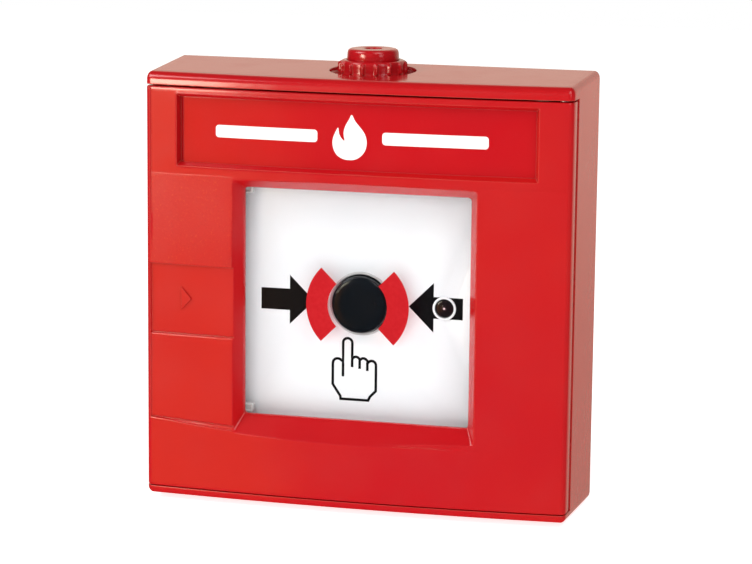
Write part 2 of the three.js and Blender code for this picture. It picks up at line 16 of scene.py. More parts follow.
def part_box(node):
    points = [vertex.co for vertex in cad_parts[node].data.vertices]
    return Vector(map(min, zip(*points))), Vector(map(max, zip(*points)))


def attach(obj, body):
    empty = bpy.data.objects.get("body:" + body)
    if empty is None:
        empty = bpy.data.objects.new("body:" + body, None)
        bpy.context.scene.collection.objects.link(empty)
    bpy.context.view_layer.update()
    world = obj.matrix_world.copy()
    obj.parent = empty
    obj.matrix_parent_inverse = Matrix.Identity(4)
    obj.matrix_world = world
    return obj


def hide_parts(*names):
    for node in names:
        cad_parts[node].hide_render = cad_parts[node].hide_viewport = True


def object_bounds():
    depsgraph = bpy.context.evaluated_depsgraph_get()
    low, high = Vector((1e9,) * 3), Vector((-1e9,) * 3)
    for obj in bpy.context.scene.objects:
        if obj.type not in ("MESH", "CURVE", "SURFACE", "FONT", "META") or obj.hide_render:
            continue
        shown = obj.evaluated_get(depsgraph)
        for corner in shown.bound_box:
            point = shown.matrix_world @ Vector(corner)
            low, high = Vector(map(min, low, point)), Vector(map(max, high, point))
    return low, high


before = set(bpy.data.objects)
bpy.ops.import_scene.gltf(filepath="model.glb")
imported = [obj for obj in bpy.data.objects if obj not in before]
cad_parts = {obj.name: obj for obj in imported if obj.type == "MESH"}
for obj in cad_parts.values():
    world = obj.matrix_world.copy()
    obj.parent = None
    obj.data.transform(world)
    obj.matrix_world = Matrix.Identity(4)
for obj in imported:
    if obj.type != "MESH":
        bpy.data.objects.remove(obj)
cad_low, cad_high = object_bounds()
MM = 0.001
TURN = 2 * math.pi
CUT, ADD = "DIFFERENCE", "UNION"

# ---- dimensions
BACK_HALF = 67.5  # half width and half height at the wall
FRONT_HALF_X, FRONT_HALF_Z = 66.5, 66.25
EDGE_DEPTH, BULGE = 37.0, 3.1  # wall to front edge, and how much prouder the middle is
HOOD_ROUND = (1.7, 2.0, 2.2)  # radii of the housing's front edges along X, Y and Z
HOOD_BEND, HOOD_LEAN = 61.5, 0.05  # height above which the front curves back, and how fast
DOOR_TOP, DOOR_BOTTOM = 61.95, -63.6
SEAM, SEAM_LOW = 0.5, 0.2  # gaps above and below the door
SKIRT_REAR, RIM = 29.7, 29.4
DOOR_CORNER = (1.7, 1.9)
DOOR_EDGE = 0.55  # rounding of the door's top and bottom edges
HINGE_X, HINGE_Y = HINGE = (62.9, -33.2)
KNUCKLE, HINGE_SWEEP, PIN_BORE = 3.6, 5.0, 1.5
CENTRE_Z = -3.75
OPENING, LIP_FRONT, LIP_REAR = 35.5, 34.6, 33.1
BEVEL_SLOPE = 1.6
LABEL = (56.3, 11.15, 48.9)  # half width, half height and height of the label's recess
LABEL_DEPTH, INSERT = 2.1, 0.9
PLATE_FRONT, PANE_FRONT = 28.0, 32.9
GLAND = (0, -16.5)  # X and Y
LATCH_Z = -3.9
MIDDLE = (0, CENTRE_Z)  # X and Z of the window and the button
LENS = (26.2, CENTRE_Z)  # X and Z of the indicator
PRINT = 0.045  # thickness of the plate's prints
CHIN_Z, CHIN_STEP = -45.35, 0.38  # the curved parting step under the window
PAD_LOW, PAD_SPLIT, PAD_TOP = -14.75, 7.0, 35.2  # edges of the pads down the door's left side
TRAY_HALF = 64.6  # half width of the housing's inside
WALL_SCREWS = ((-50, -57), (50, -57), (50, 57))

CAMERA_TURN = (14.301, 10.675, 0.5946)  # azimuth, elevation and roll in degrees
CAMERA_AT = (220.35, -874.46, 167.91)
CAMERA_LENS, CAMERA_SENSOR = 138.98, 36.0
FLOOR_REACH, FLOOR_GAP, FLOOR_GLOW = 1.5, 0.0005, 0.80  # in metres, and the strength of its glow


# ---- mesh helpers
def show(name, data):
    """A new object in the scene."""
    made = bpy.data.objects.new(name, data)
    bpy.context.scene.collection.objects.link(made)
    return made


def piece(name, mesh, body, material, replaces=(), sharp=32):
    """Shades a mesh smooth except at its sharp edges and gives it its place in the frame."""
    mesh.validate()
    mesh.name = name
    mesh.materials.clear()
    mesh.materials.append(material)
    build = bmesh.new()
    build.from_mesh(mesh)
    limit = math.radians(sharp)
    for face in build.faces:
        face.smooth = True
        face.material_index = 0
    for edge in build.edges:
        if len(edge.link_faces) == 2:
            edge.smooth = edge.calc_face_angle(0.0) < limit
    build.to_mesh(mesh)
    build.free()
    made = show(name, mesh)
    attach(made, body)
    if replaces:
        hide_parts(*replaces)
    return made


def solid(points, faces):
    """A closed mesh from points in millimetres, facing outwards."""
    mesh = bpy.data.meshes.new("solid")
    mesh.from_pydata([[c * MM for c in p] for p in points], [], faces)
    build = bmesh.new()
    build.from_mesh(mesh)
    bmesh.ops.remove_doubles(build, verts=build.verts, dist=1e-7)
    bmesh.ops.recalc_face_normals(build, faces=build.faces)
    build.to_mesh(mesh)
    build.free()
    return mesh


def combine(mesh, *steps):
    """Joins or cuts a solid with others, in order: each step is (ADD or CUT, solid)."""
    holder = show("holder", mesh)
    tools = []
    for operation, other in steps:
        tools.append(show("tool", other))
        change = holder.modifiers.new("change", "BOOLEAN")
        change.operation, change.object, change.solver = operation, tools[-1], "MANIFOLD"
    bpy.context.view_layer.update()
    graph = bpy.context.evaluated_depsgraph_get()
    result = bpy.data.meshes.new_from_object(holder.evaluated_get(graph))
    for used in (holder, *tools):
        data = used.data
        bpy.data.objects.remove(used)
        bpy.data.meshes.remove(data)
    return result


def bevel_edges(target, width, angle=30):
    """Rounds an object's edges that are sharper than an angle in degrees."""
    edge = target.modifiers.new("edge", "BEVEL")
    edge.width, edge.segments, edge.limit_method = width, 2, "ANGLE"
    edge.angle_limit = math.radians(angle)


def swept(rings):
    """A closed solid from rings of equal length, capped at both ends."""
    count = len(rings[0])
    points = [p for ring in rings for p in ring]
    faces = [list(range(count)), list(range(len(points) - count, len(points)))[::-1]]
    for i in range(len(rings) - 1):
        for j in range(count):
            k = (j + 1) % count
            a, b = i * count, (i + 1) * count
            faces.append([a + j, b + j, b + k, a + k])
    return solid(points, faces)


def prism_z(outline, low, high):
    """An X-Y outline along Z."""
    return swept([[(x, y, z) for x, y in outline] for z in (low, high)])


def prism_y(outline, low, high):
    """An X-Z outline along Y."""
    return swept([[(x, y, z) for x, z in outline] for y in (low, high)])


def block(xs, ys, zs):
    return prism_z([(xs[0], ys[0]), (xs[1], ys[0]), (xs[1], ys[1]), (xs[0], ys[1])], *zs)


def rounded(half_u, half_v, radius, centre=(0, 0), steps=6):
    """A rectangle with rounded corners as a list of points."""
    points = []
    for k, (su, sv) in enumerate(((1, 1), (-1, 1), (-1, -1), (1, -1))):
        for i in range(steps + 1):
            angle = math.pi / 2 * (k + i / steps)
            points.append((
                centre[0] + su * (half_u - radius) + radius * math.cos(angle),
                centre[1] + sv * (half_v - radius) + radius * math.sin(angle),
            ))
    return points


def soften(profile, radius, steps=4, ends=False):
    """Rounds the corners of an open profile, or of a closed one without its repeated point."""
    made = []
    count = len(profile)
    for i, point in enumerate(profile):
        if not ends and i in (0, count - 1):
            made.append(point)
            continue
        around = (point, profile[i - 1], profile[(i + 1) % count])
        here, last, following = (np.array(p, float) for p in around)
        back, ahead = last - here, following - here
        reach = min(radius, 0.45 * norm(back), 0.45 * norm(ahead))
        start, end = (here + v / norm(v) * reach for v in (back, ahead))
        for k in range(steps + 1):
            t = k / steps
            made.append(tuple((1 - t) ** 2 * start + 2 * t * (1 - t) * here + t**2 * end))
    return made


def lathe(profile, axis, centre, sides=96, closed=False, wave=None):
    """A turned solid from (radius, height) points, whose ends are on the axis unless it is closed."""
    points, faces, rows = [], [], []
    for radius, height in profile:
        if radius < 1e-6 and not closed:
            rows.append([len(points)])
            points.append((0.0, 0.0, height))
            continue
        rows.append(range(len(points), len(points) + sides))
        for i in range(sides):
            angle = TURN * i / sides
            r = radius + (wave(angle, radius, height) if wave else 0.0)
            points.append((r * math.cos(angle), r * math.sin(angle), height))
    pairs = list(zip(rows, rows[1:]))
    if closed:
        pairs.append((rows[-1], rows[0]))
    for a, b in pairs:
        for i in range(sides):
            k = (i + 1) % sides
            if len(a) == 1:
                faces.append([a[0], b[i], b[k]])
            elif len(b) == 1:
                faces.append([a[i], b[0], a[k]])
            else:
                faces.append([a[i], b[i], b[k], a[k]])
    u, v = centre
    if axis == "Z":
        return solid([(u + x, v + y, z) for x, y, z in points], faces)
    return solid([(u + x, z, v + y) for x, y, z in points], faces)


def rod(radius, low, high, axis, centre, sides=64):
    return lathe([(0, low), (radius, low), (radius, high), (0, high)], axis, centre, sides)


def ring(inner, outer, low, high, edge, axis, centre, sides=96):
    """A tube with softened edges."""
    corners = [(inner, low), (outer, low), (outer, high), (inner, high)]
    return lathe(soften(corners, edge, 3, ends=True), axis, centre, sides, closed=True)


def front(x):
    """Y of the housing's convex front."""
    return -EDGE_DEPTH - BULGE * (1 - (x / FRONT_HALF_X) ** 2)


def lines(*spans):
    """Sorted grid lines from (from, to, spacing) spans."""
    values = set()
    for low, high, gap in spans:
        count = max(1, round((high - low) / gap))
        values |= {round(v, 4) for v in np.linspace(low, high, count + 1)}
    kept = []
    for v in sorted(values):
        if not kept or v - kept[-1] > 0.03:
            kept.append(v)
    return kept


def ease(value, low, high):
    """0 below low, 1 above high and a smooth curve between."""
    t = np.clip((value - low) / (high - low), 0, 1)
    return t * t * (3 - 2 * t)


def bend(value, radius):
    """max(0, value) with its corner rounded off."""
    inside = (value + radius) ** 2 / (4 * radius)
    return np.where(value <= -radius, 0, np.where(value >= radius, value, inside))


def box_distance(x, z, half_x, half_z, centre_z, radius):
    """Signed distance from a rounded rectangle, negative inside."""
    u = np.abs(x) - half_x + radius
    v = np.abs(z - centre_z) - half_z + radius
    outside = np.hypot(np.maximum(u, 0), np.maximum(v, 0))
    return outside + np.minimum(np.maximum(u, v), 0) - radius


# ---- material helpers
class Tree:
    """The node tree of a new material or of a world, written one call at a time."""

    def __init__(self, name, world=None):
        self.holder = world or bpy.data.materials.new(name)
        self.holder.use_nodes = True
        self.nodes, self.links = self.holder.node_tree.nodes, self.holder.node_tree.links
        self.nodes.clear()
        self.places = self.add("TexCoord").outputs
        self.place = self.places["Object"]

    def put(self, socket, value):
        if isinstance(value, bpy.types.NodeSocket):
            self.links.new(value, socket)
        elif isinstance(value, tuple) and len(value) == 3 and socket.type == "RGBA":
            socket.default_value = (*value, 1)
        else:
            socket.default_value = value

    def add(self, kind, settings=None, **inputs):
        """A node with its sockets set by name."""
        node = self.nodes.new("ShaderNode" + kind)
        for key, value in (settings or {}).items():
            setattr(node, key, value)
        for key, value in inputs.items():
            self.put(node.inputs[key.replace("_", " ")], value)
        return node

    def fill(self, kind, settings, *values):
        """A node with its sockets set in order."""
        node = self.add(kind, settings)
        for socket, value in zip(node.inputs, values):
            self.put(socket, value)
        return node

    def math(self, operation, *values):
        return self.fill("Math", {"operation": operation}, *values).outputs[0]

    def times(self, a, b):
        return self.math("MULTIPLY", a, b)

    def plus(self, a, b):
        return self.math("ADD", a, b)

    def dot(self, a, b):
        return self.fill("VectorMath", {"operation": "DOT_PRODUCT"}, a, b).outputs["Value"]

    def mix(self, share, a, b, blend="MIX"):
        node = self.add("Mix", {"data_type": "RGBA", "blend_type": blend})
        for index, value in ((0, share), (6, a), (7, b)):
            self.put(node.inputs[index], value)
        return node.outputs[2]

    def span(self, value, low, high, out_low=0.0, out_high=1.0, curve="LINEAR"):
        """Carries a value from one range over to another."""
        ends = dict(From_Min=low, From_Max=high, To_Min=out_low, To_Max=out_high)
        return self.add("MapRange", {"interpolation_type": curve}, Value=value, **ends).outputs[0]

    def noise(self, scale, detail=3.0, stretch=None, rough=0.5):
        vector = self.place
        if stretch:
            vector = self.add("Mapping", Vector=vector, Scale=stretch).outputs[0]
        settings = dict(Vector=vector, Scale=scale, Detail=detail, Roughness=rough)
        return self.add("TexNoise", **settings).outputs[0]

    def cloud(self, scale, detail, *levels):
        """Noise carried from one range over to another."""
        return self.span(self.noise(scale, detail), *levels)

    def wear_and_highlight_edges(self, radius):
        """1 on edges sharper than the radius and 0 on open faces; the materials paint these edges paler,
        partly as wear and partly as a painted highlight.
        """
        rounded_normal = self.add("Bevel", {"samples": 6}, Radius=radius).outputs[0]
        plain = self.add("NewGeometry").outputs["Normal"]
        return self.span(self.dot(rounded_normal, plain), 0.995, 0.9), rounded_normal

    def bump(self, height, distance, normal=None):
        inputs = dict(Height=height, Distance=distance, Strength=1.0)
        if normal is not None:
            inputs["Normal"] = normal
        return self.add("Bump", **inputs).outputs[0]

    def principled(self, base, rough, normal=None, **constants):
        """The main shader, with each constant set on its own socket."""
        shader = self.add("BsdfPrincipled", Base_Color=base, Roughness=rough)
        if normal is not None:
            self.put(shader.inputs["Normal"], normal)
        for key, value in constants.items():
            shader.inputs[key.replace("_", " ")].default_value = value
        return shader

    def finish(self, shader, kind="OutputMaterial"):
        self.fill(kind, {}, shader.outputs[0])
        return self.holder


def plastic(name, colour, tint, gloss, specular=0.5):
    """Moulded plastic: slightly mottled colour, fine grain, faint scuffs and paler edges, partly wear and
    partly a painted highlight.
    """
    t = Tree(name)
    wear_and_highlight, soft_normal = t.wear_and_highlight_edges(0.0003)
    flecks = tuple(min(1, c * 1.3 + 0.02) for c in colour)
    base = t.mix(t.cloud(26.0, 3.0, 0.35, 0.65), colour, tint)
    base = t.mix(t.cloud(1500.0, 2.0, 0.62, 0.8, 0.0, 0.16), base, flecks)
    # edges painted paler: partly wear, partly a painted highlight
    base = t.mix(t.times(wear_and_highlight, 0.14), base, tuple(0.55 * c + 0.45 for c in colour))
    scuffs = t.span(t.noise(80.0, 5.0, rough=0.6), 0.40, 0.75, *gloss)
    height = t.plus(t.noise(420.0, 2.0), t.times(t.noise(3800.0, 2.0), 0.35))
    normal = t.bump(height, 0.00001, soft_normal)
    rough = t.plus(scuffs, t.times(wear_and_highlight, 0.06))
    return t.finish(t.principled(base, rough, normal, IOR=1.5, Specular_IOR_Level=specular))


RED_BASE = (0.465, 0.0045, 0.0085)


def red_moulding(name, textured=False):
    """The glossy red housing plastic, its edges painted a pale cream, partly wear and partly a painted
    highlight. The door's upper left pad has a coarser spark texture with painted glints on its grains and
    painted shade in its hollows.
    """
    t = Tree(name)
    wear_and_highlight, soft_normal = t.wear_and_highlight_edges(0.0004)
    patches = t.cloud(16.0, 4.0, 0.35, 0.68)
    specks = t.cloud(1300.0, 2.0, 0.64, 0.85, 0.0, 0.12)
    base = t.mix(patches, RED_BASE, (0.50, 0.0085, 0.0080))
    base = t.mix(specks, base, (0.60, 0.03, 0.025))
    # edges painted pale cream: partly wear, partly a painted highlight
    base = t.mix(t.times(wear_and_highlight, 0.20), base, (0.78, 0.26, 0.17))
    rough = t.span(t.noise(70.0, 5.0, rough=0.6), 0.40, 0.75, 0.15, 0.21)
    height = t.plus(t.noise(240.0, 2.0), t.times(t.noise(3000.0, 2.0), 0.10))
    if textured:
        x, _, z = t.add("SeparateXYZ", Vector=t.place).outputs
        across = t.span(x, -0.0382, -0.0378, 1.0, 0.0)
        up = t.times(t.span(z, 0.0070, 0.0074), t.span(z, 0.0350, 0.0354, 1.0, 0.0))
        region = t.times(across, up)
        pits = t.noise(1500.0, 3.0, rough=0.65)
        height = t.plus(height, t.times(t.times(pits, region), 2.0))
        rough = t.plus(rough, t.times(region, 0.02))
        # painted glints on the raised grains and painted shade in the hollows of the pits
        glints = t.times(t.span(pits, 0.58, 0.72, 0.0, 0.32), region)
        base = t.mix(glints, base, (0.66, 0.07, 0.012))
        pit_shade = t.times(t.span(pits, 0.42, 0.30, 0.0, 0.30), region)
        base = t.mix(pit_shade, base, (0.30, 0.004, 0.004))
    return t.finish(t.principled(base, rough, t.bump(height, 0.000016, soft_normal), IOR=1.5))


def ink(name, colour, tint, shadow=None):
    """Screen print with a fine mesh. A shadow colour lets tinted light through."""
    t = Tree(name)
    base = t.mix(t.cloud(900.0, 3.0, 0.4, 0.7), colour, tint)
    rough = t.cloud(300.0, 3.0, 0.35, 0.65, 0.34, 0.46)
    normal = t.bump(t.noise(5000.0, 1.0), 0.000004)
    shader = t.principled(base, rough, normal, Specular_IOR_Level=0.08)
    if shadow:
        tinted = t.add("BsdfTransparent", Color=shadow)
        shadow_ray = t.add("LightPath").outputs["Is Shadow Ray"]
        shader = t.fill("MixShader", {}, shadow_ray, shader.outputs[0], tinted.outputs[0])
    return t.finish(shader)


def dark_lens(name):
    """Smoked plastic, redder towards its middle, with a pale spot painted at its centre as a highlight."""
    t = Tree(name)
    x, _, z = t.add("SeparateXYZ", Vector=t.place).outputs
    across, up = t.math("SUBTRACT", x, LENS[0] * MM), t.math("SUBTRACT", z, LENS[1] * MM)
    away = t.math("SQRT", t.plus(t.times(across, across), t.times(up, up)))
    cloud = t.cloud(900.0, 3.0, 0.35, 0.7)
    base = t.mix(cloud, (0.004, 0.003, 0.004), (0.014, 0.005, 0.007))
    base = t.mix(t.span(away, 0.0011, 0.0003, 0.0, 0.35), base, (0.06, 0.006, 0.012))
    # a pale spot painted at the centre as a highlight
    base = t.mix(t.span(away, 0.00040, 0.00022), base, (0.85, 0.62, 0.64))
    rough = t.cloud(500.0, 2.0, 0.3, 0.7, 0.08, 0.16)
    normal = t.bump(t.noise(1500.0, 2.0), 0.000006)
    return t.finish(t.principled(base, rough, normal))


def metal(name, colour, dark):
    """Plated steel with draw lines and a few dull spots."""
    t = Tree(name)
    wear_and_highlight, soft_normal = t.wear_and_highlight_edges(0.00015)
    drawn = t.noise(300.0, 3.0, stretch=(1.0, 1.0, 22.0))
    base = t.mix(t.cloud(140.0, 4.0, 0.45, 0.75), colour, dark)
    base = t.mix(t.times(wear_and_highlight, 0.4), base, (0.82, 0.82, 0.8))
    normal = t.bump(drawn, 0.000012, soft_normal)
    return t.finish(t.principled(base, t.span(drawn, 0.3, 0.7, 0.22, 0.42), normal, Metallic=1.0))


def simple(name, edge, colours, mottle, gloss, grain, **constants):
    """A plain material with mottled colour, patchy gloss, a fine grain and rounded edges."""
    t = Tree(name)
    _, soft_normal = t.wear_and_highlight_edges(edge)
    base = t.mix(t.cloud(*mottle), *colours)
    rough = t.cloud(*gloss)
    scale, detail, depth = grain
    normal = t.bump(t.noise(scale, detail), depth, soft_normal)
    return t.finish(t.principled(base, rough, normal, **constants))


def circuit_green(name):
    """Solder mask over branching tracks, with paler pads."""
    t = Tree(name)
    square = {"distance": "CHEBYCHEV", "feature": "DISTANCE_TO_EDGE"}
    cells = t.add("TexVoronoi", square, Vector=t.place, Scale=210.0)
    tracks = t.span(cells.outputs[0], 0.05, 0.09, 1.0, 0.0)
    dots = t.add("TexVoronoi", {"distance": "EUCLIDEAN"}, Vector=t.place, Scale=260.0)
    pads = t.span(dots.outputs[0], 0.16, 0.19, 1.0, 0.0)
    base = t.mix(t.noise(60.0, 3.0), (0.010, 0.085, 0.045), (0.014, 0.12, 0.06))
    base = t.mix(t.times(tracks, 0.55), base, (0.045, 0.24, 0.10))
    base = t.mix(t.times(pads, 0.85), base, (0.62, 0.6, 0.55))
    normal = t.bump(t.plus(tracks, pads), 0.00003)
    rough = t.cloud(400.0, 2.0, 0.3, 0.7, 0.25, 0.4)
    return t.finish(t.principled(base, rough, normal))


def clear_pane(name):
    """Thin clear pane: it lets light straight through and mirrors by Fresnel, with faint smears."""
    t = Tree(name)
    smears = t.noise(40.0, 5.0, stretch=(1.0, 1.0, 3.0), rough=0.7)
    rough = t.span(smears, 0.45, 0.75, 0.01, 0.08)
    mirror = t.add("BsdfAnisotropic", Color=(1.0, 1.0, 1.0), Roughness=rough)
    through = t.add("BsdfTransparent", Color=(0.985, 0.99, 0.99))
    entering = t.math("SUBTRACT", 1.0, t.add("NewGeometry").outputs["Backfacing"])
    share = t.times(t.add("Fresnel", IOR=1.45).outputs[0], entering)
    return t.finish(t.fill("MixShader", {}, share, through.outputs[0], mirror.outputs[0]))


RED = red_moulding("red_moulding")
RED_DOOR = red_moulding("red_door_moulding", textured=True)
RED_LABEL = plastic("red_label_plastic", RED_BASE, (0.49, 0.0065, 0.0095), (0.10, 0.16), 0.35)
WHITE = plastic("white_plate_plastic", (0.905, 0.925, 0.95), (0.925, 0.94, 0.96), (0.28, 0.42))
BLACK = plastic("black_plastic", (0.0025, 0.0045, 0.0065), (0.004, 0.006, 0.009), (0.12, 0.2), 0.25)
GREY = plastic("grey_plastic", (0.52, 0.53, 0.54), (0.58, 0.58, 0.58), (0.3, 0.45))
DARK = plastic("dark_plastic", (0.022, 0.024, 0.028), (0.032, 0.034, 0.038), (0.35, 0.5))
BLUE = plastic("blue_plastic", (0.02, 0.10, 0.36), (0.03, 0.13, 0.42), (0.3, 0.42))
RED_INK = ink("red_ink", (0.46, 0.006, 0.011), (0.49, 0.009, 0.014), shadow=(0.95, 0.42, 0.45))
BLACK_INK = ink("black_ink", (0.0015, 0.0015, 0.003), (0.003, 0.003, 0.0045))
LENS_BLACK = dark_lens("indicator_lens")
WHITE_INK = ink("white_ink", (0.88, 0.88, 0.87), (0.92, 0.92, 0.91))
STEEL = metal("plated_steel", (0.60, 0.61, 0.63), (0.42, 0.43, 0.45))
SPRING_STEEL = metal("spring_steel", (0.50, 0.50, 0.51), (0.34, 0.34, 0.35))
RUBBER = simple(
    "black_rubber", 0.0002, ((0.011, 0.011, 0.012), (0.032, 0.031, 0.03)), (300.0, 4.0, 0.4, 0.75),
    (900.0, 3.0, 0.3, 0.7, 0.6, 0.85), (2600.0, 3.0, 0.00004),
)
BOARD = circuit_green("circuit_green")
PANE = clear_pane("clear_pane")
CLIP = simple(
    "clip_plastic", 0.0003, ((0.84, 0.85, 0.84), (0.92, 0.92, 0.90)), (700.0, 3.0, 0.4, 0.7),
    (500.0, 2.0, 0.3, 0.7, 0.1, 0.2), (900.0, 2.0, 0.00001), Transmission_Weight=0.2,
)


# ---- housing
def rounded_axis(half, radius, gap, steps=5):
    """Grid lines across a side with rounded ends."""
    inner = half - radius
    turn = [radius * math.tan(math.pi / 4 * i / steps) for i in range(1, steps + 1)]
    middle = list(np.linspace(-inner, inner, max(2, round(2 * inner / gap)) + 1))
    return [-inner - r for r in turn[::-1]] + middle + [inner + r for r in turn]


def envelope():
    """The housing's closed outside: a drafted box, its front bulged and its edges rounded."""
    rx, ry, rz = HOOD_ROUND
    xs = rounded_axis(FRONT_HALF_X, rx, 2.5)
    zs = sorted(rounded_axis(FRONT_HALF_Z, rz, 4.0) + [HOOD_BEND, 62.2, 62.9, 63.5])
    turn = [ry * math.tan(math.pi / 4 * i / 5) for i in range(1, 6)]
    ys = [-EDGE_DEPTH + ry - r for r in turn[::-1]] + list(np.linspace(-EDGE_DEPTH + ry, 6, 16))
    low = np.array([-FRONT_HALF_X + rx, -EDGE_DEPTH + ry, -FRONT_HALF_Z + rz])
    high = np.array([FRONT_HALF_X - rx, 1e3, FRONT_HALF_Z - rz])
    faces, points, index = [], [], {}

    def corner(x, y, z):
        key = (round(x, 5), round(y, 5), round(z, 5))
        if key not in index:
            q = np.array([x, y, z])
            c = np.clip(q, low, high)
            away = (q - c) / HOOD_ROUND
            length = norm(away)
            px, py, pz = c + HOOD_ROUND * away / length if length > 1e-9 else q
            if py < 0:
                py *= -front(px) / EDGE_DEPTH
            # the hood above the door leans back a little
            lean = 0.5 * HOOD_LEAN * max(0.0, pz - HOOD_BEND) ** 2
            py += lean * min(1.0, max(0.0, (-py - 30) / 5))
            px *= (BACK_HALF + py / EDGE_DEPTH) / FRONT_HALF_X
            pz *= (BACK_HALF + 1.25 * py / EDGE_DEPTH) / FRONT_HALF_Z
            index[key] = len(points)
            points.append((px, py, pz))
        return index[key]

    def quad(us, vs, place):
        around = ((us[0], vs[0]), (us[1], vs[0]), (us[1], vs[1]), (us[0], vs[1]))
        faces.append([corner(*place(u, v)) for u, v in around])

    x_pairs, y_pairs, z_pairs = (list(zip(v, v[1:])) for v in (xs, ys, zs))
    for across in x_pairs:
        for up in z_pairs:
            for y in (ys[0], ys[-1]):
                quad(across, up, lambda a, b: (a, y, b))
    for deep in y_pairs:
        for across in x_pairs:
            for z in (zs[0], zs[-1]):
                quad(across, deep, lambda a, b: (a, b, z))
        for up in z_pairs:
            for x in (xs[0], xs[-1]):
                quad(up, deep, lambda a, b: (x, b, a))
    return solid(points, faces)


def make_housing():
    sill, hood = DOOR_BOTTOM - SEAM_LOW, DOOR_TOP + SEAM
    steps = [
        (CUT, block((-80, 80), (0, 20), (-80, 80))),
        (CUT, block((-80, 80), (-60, -RIM), (sill, hood))),
        (CUT, prism_y(rounded(TRAY_HALF, TRAY_HALF, 2.0), -27.9, -2.2)),
        (CUT, block((-TRAY_HALF, TRAY_HALF), (-32, -26), (sill - 0.4, hood))),
        (ADD, rod(15.5, 62.5, 66.0, "Z", GLAND)),
        (ADD, block((HINGE_X - 4.4, 65.4), (HINGE_Y + 1, HINGE_Y + 5.2), (hood, 65.6))),
    ]
    # bosses under the circuit board
    for x in (-31, 31):
        for z in (-41, 53):
            steps.append((ADD, rod(3.0, -3.7, -1.5, "Y", (x, z), 40)))
            steps.append((CUT, rod(1.3, -5, -1, "Y", (x, z), 32)))
    # stiffening ribs on the floor of the tray, beside the board
    for x in (-56.5, 56.5):
        steps.append((ADD, block((x - 0.5, x + 0.5), (-5.2, -2.0), (-36, 34))))
    recess = [(0, 65.5), (12.9, 65.5), (13.4, 66.0), (13.4, 67.0), (13.9, 68.2), (13.9, 72), (0, 72)]
    steps += [
        (CUT, lathe(recess, "Z", GLAND, 128)),
        (CUT, rod(8.4, 60, 70, "Z", GLAND, 96)),
        (CUT, rod(HINGE_SWEEP, sill, hood, "Z", HINGE, 96)),
        (CUT, rod(PIN_BORE, 60, 65.2, "Z", HINGE, 32)),
        (CUT, rod(PIN_BORE, -65.7, -62, "Z", HINGE, 32)),
        (CUT, prism_y(rounded(8, 7, 1.5, (-52, 51.5)), -4, 1)),
    ]
    countersink = [(0, -4), (4.2, -4), (4.2, -1.9), (2.3, -1), (2.3, 1), (0, 1)]
    for place in WALL_SCREWS:
        steps.append((CUT, lathe(countersink, "Y", place, 64)))
    # thinned rings round the knock-outs, and a shallow groove that keeps the rim on uneven walls
    for x, z, r in ((-24, 0, 9.5), (24, 0, 9.5), (0, -38, 12.5)):
        steps.append((CUT, ring(r - 0.9, r, -0.7, 0.5, 0.1, "Y", (x, z), 96)))
    groove = prism_y(rounded(60.5, 60.5, 3.0, steps=8), -0.5, 0.5)
    land = prism_y(rounded(59.3, 59.3, 2.4, steps=8), -1, 1)
    steps.append((CUT, combine(groove, (CUT, land))))
    for x in (-40.0, 40.0):
        knock_out = ring(8.1, 9.0, -BACK_HALF - 1, -BACK_HALF + 1.6, 0.1, "Z", (x, -14.0), 96)
        steps.append((CUT, knock_out))
    mesh = combine(envelope(), *steps)
    piece("housing_back_box", mesh, "housing", RED, ["back_box"], 28)


